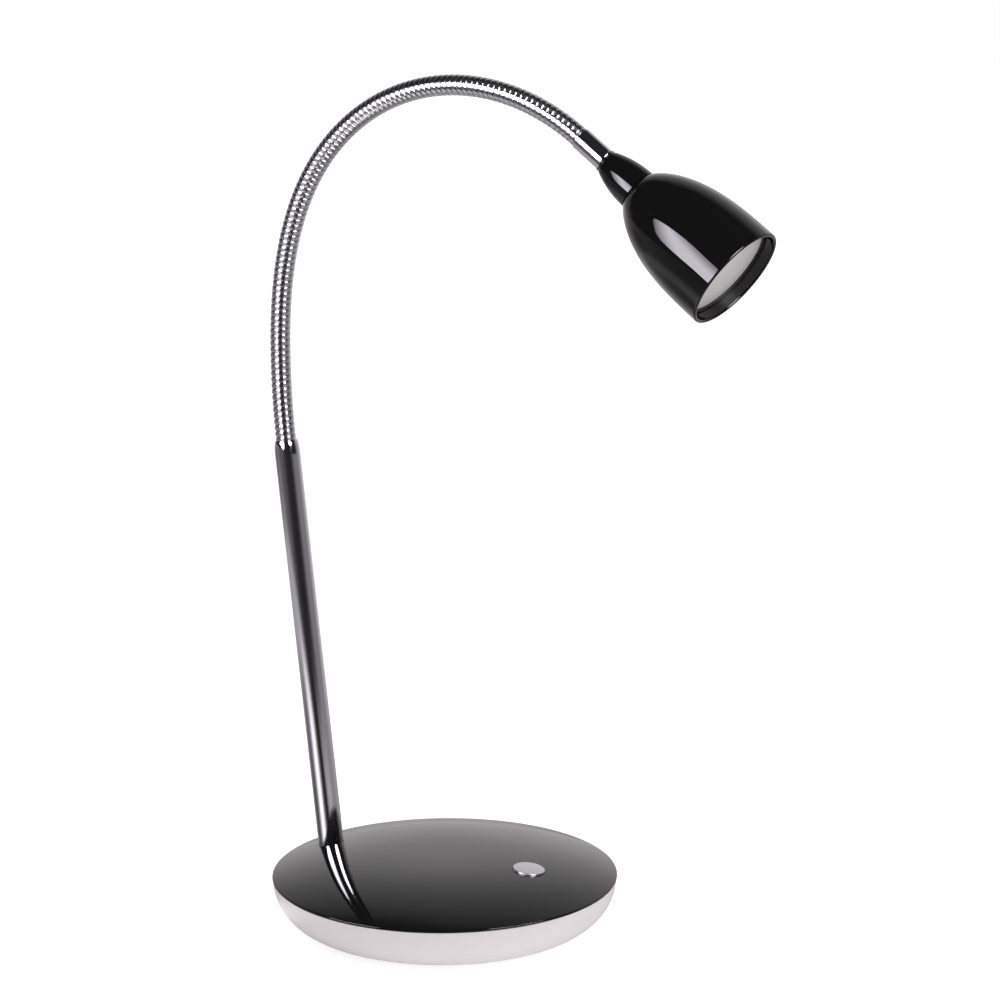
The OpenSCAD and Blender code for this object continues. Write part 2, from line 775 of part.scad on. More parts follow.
module stem() {
    color([0.75, 0.76, 0.78]) on_stem() rotate_extrude() polygon(concat(
        [[stem_bore_r, stem_len]],
        [for (i = [0 : swage_steps]) let (z = stem_swage * pow(i / swage_steps, 2))
            [stem_outer(z), stem_len - z]],
        [[stem_r, -stem_in], [stem_bore_r, -stem_in]]
    ));
}

// The lead from the driver board through the stem into the lowest link
module stem_lead() {
    bottom = [socket_x, 0, deck_z + lead_r + 0.2];
    color([0.85, 0.85, 0.82]) {
        on_stem() translate([0, 0, -stem_in]) cylinder(r = lead_r, h = stem_in + stem_len);
        on_link(0) {
            knuckle(lead_r);
            arc_bar(link_r(0), 0, link_len + lead_past, lead_r);
        }
        on_stem() translate([0, 0, -stem_in]) knuckle(lead_r);
        wire([
            [-stem_back + stem_in * sin(stem_lean), 0, stem_foot_z - stem_in * cos(stem_lean)],
            bottom,
            [driver_x - driver_len / 2 + 2, 0, bottom[2]],
            [driver_x - driver_len / 2 + 2, 0, driver_z]
        ], lead_r);
    }
}

module rib() {
    rotate_extrude() union() {
        translate([0, -rib_w / 2]) square([neck_r - rib_w / 2, rib_w]);
        intersection() {
            translate([neck_r - rib_w / 2, 0]) circle(r = rib_w / 2, $fn = 32);
            translate([0, -rib_w]) square([neck_r + over, 2 * rib_w]);
        }
    }
}

// Link i of the neck: a ribbed arc with a socket at its start and a ball at its end
module neck_link(i) {
    bend = link_r(i);
    first = i == 0;
    last = i == link_count - 1;
    color([0.75, 0.76, 0.78]) on_link(i) difference() {
        union() {
            arc_bar(bend, first ? 0 : link_gap, last ? link_len : link_len - link_gap, core_r);
            for (j = [0 : ribs_per_link - 1]) at_arc(bend, (j + 0.5) * rib_pitch) rib();
            if (first) translate([0, 0, -stub_len]) cylinder(r = stub_r, h = stub_len + stub_blend);
            if (last) at_arc(bend, link_len) translate([0, 0, -stub_blend])
                cylinder(r = stub_r, h = stub_len + stub_blend);
            if (!last) at_arc(bend, link_len) sphere(r = ball_r);
        }
        if (!first) sphere(r = ball_r + ball_gap);
        arc_bar(bend, first ? 0 : -ball_r - over, last ? link_len : link_len + ball_r + over, neck_bore_r);
        if (first) translate([0, 0, -stub_len - over])
            cylinder(r = stub_bore_r, h = stub_len + over + stub_blend);
        if (last) at_arc(bend, link_len) translate([0, 0, -stub_blend])
            cylinder(r = stub_bore_r, h = stub_len + over + stub_blend);
    }
}

// The stretch of lead inside link i
module neck_lead(i) {
    color([0.85, 0.85, 0.82]) on_link(i) arc_bar(link_r(i), lead_start, link_len + lead_past, lead_r);
}

// ---- Head ----

module ferrule() {
    color([0.78, 0.79, 0.8]) on_head() difference() {
        union() {
            cylinder(r = ferrule_r, h = ferrule_len);
            translate([0, 0, ferrule_len - bead_r])
                rotate_extrude() translate([ferrule_r - bead_r / 3, 0]) circle(r = bead_r, $fn = 32);
        }
        translate([0, 0, -over]) cylinder(r = ferrule_bore_r, h = ferrule_len + 2 * over);
    }
}

module neck_cap() {
    color([0.05, 0.05, 0.06]) on_head() translate([0, 0, cap_z]) rotate_extrude() difference() {
        polygon(concat(
            [for (i = [0 : cap_steps]) let (z = cap_len * i / cap_steps) [cap_outer(z), z]],
            [[nipple_r + fit_gap, cap_len], [nipple_r + fit_gap, 0]]
        ));
        polygon(concat(
            [for (i = [0 : cap_steps]) let (z = cap_wall * 2 + (cap_len - cap_wall * 2) * i / cap_steps)
                [cap_outer(z) - cap_wall, z + (i == cap_steps ? over : 0)]],
            [[nipple_r - over, cap_len + over], [nipple_r - over, cap_wall * 2]]
        ));
    }
}

module head_nipple() {
    color([0.72, 0.6, 0.3]) on_head() difference() {
        union() {
            translate([0, 0, collar_z]) cylinder(r = nipple_r, h = nipple_end - collar_z);
            translate([0, 0, collar_z]) cylinder(r = stub_r, h = cap_z - collar_z);
        }
        translate([0, 0, collar_z - over]) cylinder(r = nipple_bore_r, h = nipple_end);
    }
}

module head_nut() {
    color([0.7, 0.7, 0.72]) on_head() translate([0, 0, nut_z]) difference() {
        union() {
            cylinder(r = nut_flange_r, h = nut_flange_t);
            cylinder(r = nut_af / 2 / cos(30), h = nut_h, $fn = 6);
        }
        translate([0, 0, -over]) cylinder(r = nipple_r + fit_gap, h = nut_h + 2 * over);
    }
}

module shade_outline() {
    lip_r = lip_w / 2;
    difference() {
        union() {
            polygon(concat(
                [for (i = [0 : shade_steps])
                    let (z = (shade_len - lip_r) * pow(i / shade_steps, shade_step_power)) [shade_outer(z), z]],
                [[shade_r - lip_w, shade_len - lip_r], [0, shade_len - lip_r], [0, 0]]
            ));
            translate([shade_r - lip_r, shade_len - lip_r]) circle(r = lip_r, $fn = 48);
        }
        polygon(concat(
            [for (i = [0 : shade_steps])
                let (z = shade_top_t + (lens_seat - shade_z - shade_top_t) * pow(i / shade_steps, shade_step_power))
                    [shade_outer(z) - shade_wall, z]],
            [[0, lens_seat - shade_z], [0, shade_top_t]]
        ));
        translate([0, lens_seat - shade_z - 0.01]) square([lens_bore_r, shade_len]);
    }
}

module shade() {
    color([0.05, 0.05, 0.06]) on_head() difference() {
        union() {
            translate([0, 0, shade_z]) rotate_extrude() shade_outline();
            on_led_screws() translate([0, 0, led_boss_z]) cylinder(r = led_boss_r, h = sink_back - led_boss_z);
        }
        translate([0, 0, shade_z - over]) cylinder(r = nipple_r + fit_gap, h = shade_top_t + 2 * over);
        on_led_screws() translate([0, 0, led_front - led_screw_len - 0.5])
            cylinder(r = led_screw_r + fit_gap, h = led_screw_len + over);
    }
}

module heat_sink() {
    color([0.75, 0.76, 0.78]) on_head() difference() {
        union() {
            translate([0, 0, sink_back]) cylinder(r = sink_r, h = sink_plate_t);
            translate([0, 0, sink_back - fin_h]) cylinder(r = fin_core_r, h = fin_h + over);
            for (i = [0 : fin_count - 1]) rotate([0, 0, (i + 0.5) * 360 / fin_count])
                translate([fin_core_r - over, -fin_t / 2, sink_back - fin_h])
                    cube([fin_r - fin_core_r + over, fin_t, fin_h + over]);
        }
        translate([0, 0, sink_back - fin_h - over])
            cylinder(r = lead_r + 0.6, h = fin_h + sink_plate_t + 2 * over);
        on_led_screws() translate([0, 0, sink_back - over])
            cylinder(r = led_screw_r + loose_gap, h = sink_plate_t + 2 * over);
    }
}

module led_board() {
    color([0.9, 0.9, 0.88]) on_head() difference() {
        translate([0, 0, sink_front]) cylinder(r = led_board_r, h = led_board_t);
        on_led_screws() translate([0, 0, sink_front - over])
            cylinder(r = led_screw_r + loose_gap, h = led_board_t + 2 * over);
    }
}

module led_chips() {
    color([0.95, 0.85, 0.3]) on_head() for (i = [0 : chip_count - 1])
        rotate([0, 0, (i + 0.5) * 360 / chip_count])
            translate([led_ring_r - chip_w / 2, -chip_w / 2, led_front]) cube([chip_w, chip_w, chip_h]);
}

module led_screws() {
    color([0.7, 0.7, 0.72]) on_head() on_led_screws() translate([0, 0, led_front])
        screw(led_screw_r, led_screw_len, led_screw_head_r, led_screw_head_h);
}

module lens() {
    color([0.75, 0.72, 0.73]) on_head() translate([0, 0, lens_seat]) cylinder(r = lens_r, h = lens_t);
}

module lens_ring() {
    color([0.06, 0.06, 0.07]) on_head() translate([0, 0, lens_front])
        tube(lens_bore_r - fit_gap, lens_bore_r - 0.9, snap_t);
}

module head_lead() {
    color([0.85, 0.85, 0.82]) {
        on_head() {
            knuckle(lead_r);
            cylinder(r = lead_r, h = sink_front);
        }
        on_link(link_count - 1) arc_bar(link_r(link_count - 1), lead_start, link_len, lead_r);
    }
}

foot_pad();
lower_dish();
top_cover();
base_screws();
weight_disc();
stem_socket();
set_screw();
cord_gland();
cord_clamp();
driver_board();
driver_transformer();
driver_capacitors();
driver_chips();
terminal_block();
switch_board();
switch_body();
switch_plunger();
button_spring();
button();
switch_wires();
small_screws();
stem();
stem_lead();
neck_link(0);  // neck_01
neck_link(1);  // neck_02
neck_link(2);  // neck_03
neck_link(3);  // neck_04
neck_link(4);  // neck_05
neck_link(5);  // neck_06
neck_link(6);  // neck_07
neck_link(7);  // neck_08
neck_link(8);  // neck_09
neck_link(9);  // neck_10
neck_link(10);  // neck_11
neck_link(11);  // neck_12
neck_link(12);  // neck_13
neck_lead(1);  // neck_lead_02
neck_lead(2);  // neck_lead_03
neck_lead(3);  // neck_lead_04
neck_lead(4);  // neck_lead_05
neck_lead(5);  // neck_lead_06
neck_lead(6);  // neck_lead_07
neck_lead(7);  // neck_lead_08
neck_lead(8);  // neck_lead_09
neck_lead(9);  // neck_lead_10
neck_lead(10);  // neck_lead_11
neck_lead(11);  // neck_lead_12
ferrule();
neck_cap();
head_nipple();
head_nut();
shade();
heat_sink();
led_board();
led_chips();
led_screws();
lens();
lens_ring();
head_lead();
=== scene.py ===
"""Gooseneck desk lamp: finishes, smooth shells, the wound neck and spring, and the studio.

Lengths are in millimetres until they become mesh points, lights or cameras, which are in metres.
"""
import json
from math import acos, atan, ceil, cos, degrees, pi, radians, sin, sqrt

import bmesh
import bpy
from mathutils import Matrix, Vector


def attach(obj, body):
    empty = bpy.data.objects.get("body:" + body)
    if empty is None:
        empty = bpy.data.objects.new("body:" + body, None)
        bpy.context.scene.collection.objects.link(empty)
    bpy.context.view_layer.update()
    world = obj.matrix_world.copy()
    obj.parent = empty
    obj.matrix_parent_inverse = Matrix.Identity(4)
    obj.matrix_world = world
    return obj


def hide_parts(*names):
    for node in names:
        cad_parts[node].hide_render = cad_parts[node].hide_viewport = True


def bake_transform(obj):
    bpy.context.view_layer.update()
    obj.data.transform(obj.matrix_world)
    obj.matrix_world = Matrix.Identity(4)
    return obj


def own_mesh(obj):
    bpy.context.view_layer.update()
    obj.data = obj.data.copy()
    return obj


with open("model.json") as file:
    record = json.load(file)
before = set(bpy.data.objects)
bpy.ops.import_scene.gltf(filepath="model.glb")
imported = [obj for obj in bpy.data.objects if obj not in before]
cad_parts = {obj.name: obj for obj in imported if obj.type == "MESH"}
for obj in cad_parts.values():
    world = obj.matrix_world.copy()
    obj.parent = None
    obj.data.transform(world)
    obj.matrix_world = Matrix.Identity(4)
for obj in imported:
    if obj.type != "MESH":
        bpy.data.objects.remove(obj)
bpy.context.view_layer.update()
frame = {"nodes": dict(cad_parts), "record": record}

MM = 0.001

# ---- Dimensions, as the construction has them or works them out ----

BASE_D = 135
RIM_H = 19.5
DOME_H = 8.85
DOME_POWER = 2.7
COVER_T = 2.2
EDGE_R = 0.5
DISH_SETBACK = 0.3
DISH_WALL = 2.2
SKIRT_H = 1.2
SKIRT_T = 1.8
LOOSE_GAP = 0.15
SLIDE_GAP = 0.2
FIT_GAP = 0.05
TOUCH_GAP = 0.03

STEM_D = 10
STEM_LEN = 163.5
STEM_BACK = 51
STEM_LEAN = 6.2
STEM_IN = 11.6
STEM_SWAGE = 6
STEM_END_WALL = 0.3

NECK_D = 8
STUB_D = 7.6
RIB_PITCH = 2.4
RIBS_PER_LINK = 8
LINK_COUNT = 13
BEND_R = 87
BEND_RAMP = 112
FIRST_LEAN = 2.8
ARM_TURN = 6.7

FERRULE_D = 8.7
FERRULE_LEN = 13.6
BEAD_R = 0.6
CAP_LEN = 16.5
CAP_SMALL_R = 4.65
CAP_BIG_R = 8.05
CAP_POWER = 2.13
CAP_WALL = 1.5
SHADE_LEN = 50.3
SHADE_TOP_R = 7.5
SHADE_R = 21
SHADE_WALL = 2.4
SHADE_TOP_T = 2
BULLET_LENGTH_POWER = 2.909
BULLET_ROUND_POWER = 1.286
NIPPLE_D = 6
LENS_DEPTH = 5.5
LENS_T = 1.6
LIP_W = 1.5

BUTTON_D = 12.5
BUTTON_FWD = 37
BUTTON_PROUD = 0.7
BUTTON_FLANGE = -4.25
BUTTON_FLANGE_T = 1
BUTTON_FLANGE_OUT = 1.1
BUTTON_TRAVEL = 1
SPRING_LEN = BUTTON_TRAVEL + 3
SPRING_R = 2.9
SPRING_WIRE_R = 0.3
SPRING_TURNS = 4

# ---- Dimensions of the wound neck alone: the construction's links have a narrower bore ----

NECK_BORE_D = 5.4
RIB_CROWN = 0.07
GROOVE = 0.55
GROOVE_POWER = 8.0

# ---- Values that follow from them ----

BASE_R = BASE_D / 2
DISH_TOP = RIM_H - EDGE_R
DOME_Z = RIM_H + 0.7 * EDGE_R
SKIRT_R = BASE_R - DISH_SETBACK - DISH_WALL - LOOSE_GAP
LINK_LEN = RIBS_PER_LINK * RIB_PITCH
NECK_LEN = LINK_COUNT * LINK_LEN
RIM_Z = FERRULE_LEN + CAP_LEN + SHADE_LEN
LENS_FRONT = RIM_Z - LENS_DEPTH


def dome(r):
    """Height of the cover at a distance r from the middle."""
    return DOME_Z + DOME_H * (1 - (r / BASE_R) ** DOME_POWER)


def dome_slope(r):
    """Slope of the cover, in radians, at a distance r from the middle."""
    return atan(DOME_H * DOME_POWER * (r / BASE_R) ** (DOME_POWER - 1) / BASE_R)


def eased(s):
    """Bend-ramp integral: the bend's curvature grows over BEND_RAMP and then stays."""
    return s * s / (2 * BEND_RAMP) if s < BEND_RAMP else s - BEND_RAMP / 2


def heading(i):
    """How far the neck has turned from the stem's direction at the start of link i, in radians."""
    return 0 if i == 0 else radians(FIRST_LEAN) + eased(i * LINK_LEN) / BEND_R


def neck_point(s):
    """Point of the neck's centreline at arc length s, in the arm frame; straight past both ends."""
    point = Vector((0, 0, 0))
    left = s
    if s < 0:
        return Vector((0, 0, s))
    for i in range(LINK_COUNT):
        start, turn = heading(i), heading(i + 1) - heading(i)
        part = min(left / LINK_LEN, 1)
        r = LINK_LEN / turn
        here = start + turn * part
        point += r * Vector((cos(start) - cos(here), 0, sin(here) - sin(start)))
        left -= LINK_LEN
        if left <= 0:
            return point
    return point + left * Vector((sin(here), 0, cos(here)))


# ---- Places of the sub-parts, as matrices in millimetres ----

STEM_PLACE = (
    Matrix.Translation((-STEM_BACK, 0, dome(STEM_BACK)))
    @ Matrix.Rotation(radians(-STEM_LEAN), 4, "Y")
)
ARM_PLACE = (
    STEM_PLACE
    @ Matrix.Translation((0, 0, STEM_LEN))
    @ Matrix.Rotation(radians(-ARM_TURN), 4, "Z")
)
HEAD_PLACE = (
    ARM_PLACE
    @ Matrix.Translation(neck_point(NECK_LEN))
    @ Matrix.Rotation(heading(LINK_COUNT), 4, "Y")
)
BUTTON_PLACE = (
    Matrix.Translation((BUTTON_FWD, 0, dome(BUTTON_FWD)))
    @ Matrix.Rotation(dome_slope(BUTTON_FWD), 4, "Y")
)


def along_head(z):
    """The place of a head piece that starts at a distance z along the head's axis."""
    return HEAD_PLACE @ Matrix.Translation((0, 0, z))


# ---- Nodes ----


def add_node(tree, kind, inputs=None, **settings):
    """Adds one node, applies its settings, and links or fills the inputs that are named or numbered."""
    made = tree.nodes.new(kind)
    for key, value in settings.items():
        setattr(made, key, value)
    for key, value in (inputs or {}).items():
        socket = made.inputs[key]
        if isinstance(value, bpy.types.NodeSocket):
            tree.links.new(value, socket)
        else:
            socket.default_value = value
    return made


def maths_in(tree):
    """A function that adds one Math node to the tree and gives its value."""
    def maths(operation, first, second=0.0):
        return add_node(tree, "ShaderNodeMath", {0: first, 1: second}, operation=operation).outputs[0]

    return maths


def linear(hex_colour, alpha=1.0):
    """sRGB hex to Blender's linear colour."""
    parts = [int(hex_colour[i:i + 2], 16) / 255 for i in (1, 3, 5)]
    return (*[p / 12.92 if p <= 0.04045 else ((p + 0.055) / 1.055) ** 2.4 for p in parts], alpha)


# ---- Finishes ----


def start_finish(name, colour, metallic, roughness, **shader_inputs):
    """A material with its Principled shader and Object coordinates, ready for its pattern."""
    made = bpy.data.materials.new(name)
    made.use_nodes = True
    tree = made.node_tree
    shader = tree.nodes["Principled BSDF"]
    shader.inputs["Base Color"].default_value = linear(colour)
    shader.inputs["Metallic"].default_value = metallic
    shader.inputs["Roughness"].default_value = roughness
    for key, value in shader_inputs.items():
        shader.inputs[key.replace("_", " ")].default_value = value
    place = add_node(tree, "ShaderNodeTexCoord").outputs["Object"]
    return made, tree, shader, place


def noise_of(tree, place, size, detail=3.0, stretch=(1, 1, 1)):
    """Noise whose blotches are about size millimetres wide, from 0 to 1."""
    scaled = add_node(tree, "ShaderNodeMapping", {"Vector": place, "Scale": stretch})
    return add_node(
        tree, "ShaderNodeTexNoise",
        {"Vector": scaled.outputs[0], "Scale": 1 / (size * MM), "Detail": detail, "Roughness": 0.55},
    ).outputs["Fac"]


def spread(tree, value, low, high):
    """Turns noise into a range of values."""
    return add_node(
        tree, "ShaderNodeMapRange",
        {"Value": value, "From Min": 0.3, "From Max": 0.7, "To Min": low, "To Max": high},
    ).outputs["Result"]


def tint(tree, value, dark, light):
    """Blends two colours by a value."""
    mixed = add_node(tree, "ShaderNodeMix", {"Factor": value}, data_type="RGBA", blend_type="MIX")
    mixed.inputs[6].default_value = linear(dark)
    mixed.inputs[7].default_value = linear(light)
    return mixed.outputs[2]


def rubbed_lengthwise(tree, shader, amount):
    """Spreads reflections along a round bar whose fine marks run around it; reads its axis."""
    axis = add_node(tree, "ShaderNodeAttribute", attribute_name="axis").outputs["Vector"]
    along = add_node(
        tree, "ShaderNodeVectorTransform", {0: axis},
        vector_type="VECTOR", convert_from="OBJECT", convert_to="WORLD",
    ).outputs[0]
    tree.links.new(along, shader.inputs["Tangent"])
    shader.inputs["Anisotropic"].default_value = amount


def bump(tree, height, depth):
    """Surface relief with a depth in millimetres."""
    return add_node(
        tree, "ShaderNodeBump", {"Height": height, "Distance": depth * MM, "Strength": 1.0},
    ).outputs["Normal"]


def polished_abs():
    """Injection-moulded ABS from a polished mould: near-black, mirror-like, with the faint
    waviness of moulding and hairline rub marks that only change the gloss."""
    made, tree, shader, place = start_finish("polished_black_abs", "#131314", 0.0, 0.03, IOR=1.5)
    haze = noise_of(tree, place, 9.0)
    hairlines = noise_of(tree, place, 0.5, 4.0, (1, 6, 1))
    both = maths_in(tree)("MULTIPLY", haze, hairlines)
    tree.links.new(spread(tree, both, 0.02, 0.055), shader.inputs["Roughness"])
    tree.links.new(bump(tree, noise_of(tree, place, 14.0, 1.0), 0.012), shader.inputs["Normal"])
    return made


def satin_abs():
    """Milky white ABS from a fine-blasted mould: soft sheen, a slight warm pink cast and a
    grain of 0.15 mm, drawn at 0.5 mm so that it shows."""
    made, tree, shader, place = start_finish("satin_white_abs", "#D4CED0", 0.0, 0.38, IOR=1.5)
    colour = tint(tree, noise_of(tree, place, 30.0), "#D0CACC", "#D8D2D4")
    tree.links.new(colour, shader.inputs["Base Color"])
    tree.links.new(spread(tree, noise_of(tree, place, 2.0), 0.33, 0.42), shader.inputs["Roughness"])
    tree.links.new(bump(tree, noise_of(tree, place, 0.5), 0.01), shader.inputs["Normal"])
    return made


def chrome_plate():
    """Bright chromium over a drawn steel tube: a clear mirror with slight draw lines and specks."""
    made, tree, shader, place = start_finish("bright_chrome_plate", "#DADADF", 1.0, 0.05)
    lines = noise_of(tree, place, 0.8, 3.0, (1, 1, 0.12))
    specks = noise_of(tree, place, 0.7, 2.0)
    both = maths_in(tree)("ADD", lines, specks)
    tree.links.new(spread(tree, specks, 0.04, 0.09), shader.inputs["Roughness"])
    tree.links.new(bump(tree, both, 0.006), shader.inputs["Normal"])
    rubbed_lengthwise(tree, shader, 0.8)
    return made


def chrome_wire():
    """Chromed round wire, wound tight: a slightly rough mirror whose roughness varies in small patches."""
    made, tree, shader, place = start_finish("chromed_spring_wire", "#D6D6DB", 1.0, 0.2)
    tree.links.new(spread(tree, noise_of(tree, place, 0.6), 0.17, 0.23), shader.inputs["Roughness"])
    rubbed_lengthwise(tree, shader, 0.9)
    return made


def satin_aluminium():
    """Anodised aluminium, turned and bead-blasted: an even silver grey with a fine grain."""
    made, tree, shader, place = start_finish("satin_anodised_aluminium", "#D4D2D7", 1.0, 0.3)
    colour = tint(tree, noise_of(tree, place, 0.4), "#D0CED3", "#D8D6DB")
    tree.links.new(colour, shader.inputs["Base Color"])
    tree.links.new(bump(tree, noise_of(tree, place, 0.3), 0.004), shader.inputs["Normal"])
    return made


def frosted_polycarbonate():
    """Opal polycarbonate diffuser, unlit: an even lilac grey, matt, with a soft fine grain."""
    made, tree, shader, place = start_finish("opal_polycarbonate", "#B9B3B6", 0.0, 0.5, IOR=1.58)
    colour = tint(tree, noise_of(tree, place, 12.0), "#B5AFB2", "#BDB7BA")
    tree.links.new(colour, shader.inputs["Base Color"])
    tree.links.new(bump(tree, noise_of(tree, place, 0.4), 0.006), shader.inputs["Normal"])
    return made


# Finishes that share one build: name, dark and light colour, metallic, roughness from and to,
# pattern size in mm, relief in mm. Each is what its comment says.
PLAIN_FINISHES = {
    # Die-cut EVA foam rubber: dark, matt, with closed cells of half a millimetre
    "foot_rubber": ("cut_eva_rubber", "#18181A", "#222225", 0.0, 0.75, 0.9, 0.6, 0.05),
    # Hot-rolled steel plate with a thin grey scale
    "ballast_steel": ("rolled_steel_plate", "#56585B", "#6E7073", 1.0, 0.4, 0.6, 6.0, 0.02),
    # Turned mild steel with tool marks
    "socket_steel": ("turned_mild_steel", "#8E9094", "#A3A5A8", 1.0, 0.25, 0.4, 0.5, 0.01),
    # Zinc-plated steel, bluish with soft yellow patches
    "screw_zinc": ("zinc_plated_steel", "#A6A9AF", "#BDBDB6", 1.0, 0.25, 0.4, 1.5, 0.005),
    # Black-oxide steel, dark and oily
    "set_screw_black": ("black_oxide_steel", "#1E1F22", "#2A2B2E", 1.0, 0.3, 0.45, 0.8, 0.005),
    # Nylon from a spark-eroded mould: black with a fine grain
    "black_matt": ("eroded_black_nylon", "#131314", "#1B1B1D", 0.0, 0.45, 0.6, 0.3, 0.015),
    # Unfilled nylon, cream and waxy
    "clamp_plastic": ("natural_nylon", "#C9C6BA", "#D6D3C8", 0.0, 0.4, 0.5, 3.0, 0.01),
    # Solder mask over woven glass laminate: the weave shows at 0.8 mm
    "circuit_board": ("green_solder_mask", "#0E3D22", "#17542F", 0.0, 0.2, 0.35, 0.8, 0.01),
    # Polyester tape, wound: amber yellow, glossy
    "tape_yellow": ("polyester_tape", "#B98A14", "#CC9C22", 0.0, 0.2, 0.3, 2.0, 0.01),
    # Shrunk PVC sleeve on an aluminium can
    "can_blue": ("shrunk_pvc_sleeve", "#14214F", "#1B2C63", 0.0, 0.2, 0.3, 2.0, 0.008),
    # Moulded nylon of a terminal block
    "terminal_green": ("green_nylon", "#2C8446", "#379452", 0.0, 0.4, 0.5, 1.0, 0.01),
    # Acetal, white and slippery
    "plunger_white": ("white_acetal", "#DFDED9", "#E8E7E2", 0.0, 0.3, 0.4, 1.0, 0.005),
    # Drawn music wire with a bright surface
    "spring_steel": ("drawn_music_wire", "#8C8E92", "#A8AAAE", 1.0, 0.2, 0.35, 0.4, 0.004),
    # PVC insulation, red
    "wire_red": ("red_pvc_insulation", "#A3191A", "#B52223", 0.0, 0.4, 0.5, 1.0, 0.01),
    # Silicone-jacketed lead, off-white
    "lead_white": ("white_silicone_jacket", "#D5D3CC", "#DEDCD5", 0.0, 0.5, 0.6, 1.0, 0.01),
    # Machined brass with turning marks
    "nipple_brass": ("machined_brass", "#B08D45", "#C29F56", 1.0, 0.2, 0.35, 0.4, 0.008),
    # Die-cast aluminium, grey with a sandy skin
    "sink_aluminium": ("die_cast_aluminium", "#A2A4A7", "#B4B6B9", 1.0, 0.4, 0.55, 0.5, 0.02),
    # White solder mask on an aluminium-core board
    "led_board_white": ("white_solder_mask", "#E4E4E1", "#ECECEA", 0.0, 0.3, 0.4, 2.0, 0.005),
    # Phosphor gel over the LED dice
    "led_yellow": ("phosphor_gel", "#DDB23A", "#E8C252", 0.0, 0.35, 0.5, 0.6, 0.01),
}


def plain_finish(name, dark, light, metallic, rough_low, rough_high, size, relief):
    """A finish with one pattern that shifts its colour, gloss and relief."""
    made, tree, shader, place = start_finish(name, dark, metallic, rough_low)
    pattern = noise_of(tree, place, size)
    tree.links.new(tint(tree, pattern, dark, light), shader.inputs["Base Color"])
    tree.links.new(spread(tree, pattern, rough_low, rough_high), shader.inputs["Roughness"])
    tree.links.new(bump(tree, pattern, relief), shader.inputs["Normal"])
    return made


FINISHES = {slot: plain_finish(*facts) for slot, facts in PLAIN_FINISHES.items()}
FINISHES["gloss_black"] = polished_abs()
FINISHES["dish_white"] = satin_abs()
FINISHES["chrome"] = chrome_plate()
FINISHES["button_satin"] = satin_aluminium()
FINISHES["lens_frosted"] = frosted_polycarbonate()
WIRE = chrome_wire()

for subpart in frame["record"]["subparts"]:
    for material_slot in frame["nodes"][subpart["node"]].material_slots:
        material_slot.material = FINISHES[subpart["material_slot"]]


# ---- Camera ----

# The view frame has X to the right, Y away from the camera and Z up; the lamp stands turned in it.
VIEW_ANGLE = radians(27.6)
VIEW_TURN = Matrix.Rotation(VIEW_ANGLE, 3, "Z")
CAMERA_PITCH = radians(14.61)
CAMERA_ROLL = radians(-0.265)
CAMERA_AWAY = 1800
CAMERA_AIM = Vector((22.3, 0, 170.65))
CAMERA_LENS = 168.93

look = Vector((0, cos(CAMERA_PITCH), -sin(CAMERA_PITCH)))
level = Vector((1, 0, 0))
above = Vector((0, sin(CAMERA_PITCH), cos(CAMERA_PITCH)))
right = level * cos(CAMERA_ROLL) + above * sin(CAMERA_ROLL)
up = above * cos(CAMERA_ROLL) - level * sin(CAMERA_ROLL)
turned = [VIEW_TURN @ v for v in (right, up, -look)]
camera_data = bpy.data.cameras.new("camera")
camera_data.lens = CAMERA_LENS
camera = bpy.data.objects.new("camera", camera_data)
camera.matrix_world = Matrix.Translation(VIEW_TURN @ (CAMERA_AIM - look * CAMERA_AWAY) * MM) @ Matrix(
    [[v[row] for v in turned] for row in range(3)]
).to_4x4()
bpy.context.scene.collection.objects.link(camera)
bpy.context.scene.camera = camera


# ---- Mesh helpers ----

SHARP = radians(28)
WIRE_SHARP = radians(60)
WELD_WITHIN = 1e-4
POLE_R = 1e-6


def in_scene(name, data):
    """A new object with this mesh or light, in the scene."""
    made = bpy.data.objects.new(name, data)
    bpy.context.scene.collection.objects.link(made)
    return made


def rectangle(half_width, half_height):
    """Corners of a flat rectangle around the origin."""
    return (
        (-half_width, -half_height), (half_width, -half_height),
        (half_width, half_height), (-half_width, half_height),
    )


def flat_mesh(name, outline):
    """A flat mesh of one face, from its outline in metres."""
    mesh = bpy.data.meshes.new(name)
    mesh.from_pydata([(x, y, 0) for x, y in outline], [], [tuple(range(len(outline)))])
    return mesh


def finish_mesh(name, form, place, material):
    """Turns a bmesh in millimetres into a shown object in metres, smooth but for its sharp edges."""
    bmesh.ops.remove_doubles(form, verts=form.verts, dist=WELD_WITHIN)
    bmesh.ops.recalc_face_normals(form, faces=form.faces)
    bmesh.ops.transform(form, matrix=Matrix.Scale(MM, 4) @ place, verts=form.verts)
    mesh = bpy.data.meshes.new(name)
    form.to_mesh(mesh)
    form.free()
    mesh.shade_smooth()
    mesh.set_sharp_from_angle(angle=SHARP)
    mesh.materials.append(material)
    return in_scene(name, mesh)


def mark_axis(made, place):
    """Writes a turned piece's axis on its points, for the finish that reads it."""
    axis = made.data.attributes.new("axis", "FLOAT_VECTOR", "POINT")
    for value in axis.data:
        value.vector = place.to_3x3().col[2]


def lathed(outline, turns):
    """A bmesh turned from a closed outline of (radius, height) points; radius 0 is a pole."""
    form = bmesh.new()
    rings = []
    for r, z in outline:
        if r < POLE_R:
            rings.append([form.verts.new((0, 0, z))] * turns)
        else:
            rings.append([
                form.verts.new((r * cos(2 * pi * k / turns), r * sin(2 * pi * k / turns), z))
                for k in range(turns)
            ])
    for low, high in zip(rings, rings[1:] + rings[:1]):
        for k in range(turns):
            n = (k + 1) % turns
            corners = list(dict.fromkeys((low[k], low[n], high[n], high[k])))
            if len(corners) > 2:
                form.faces.new(corners)
    return form


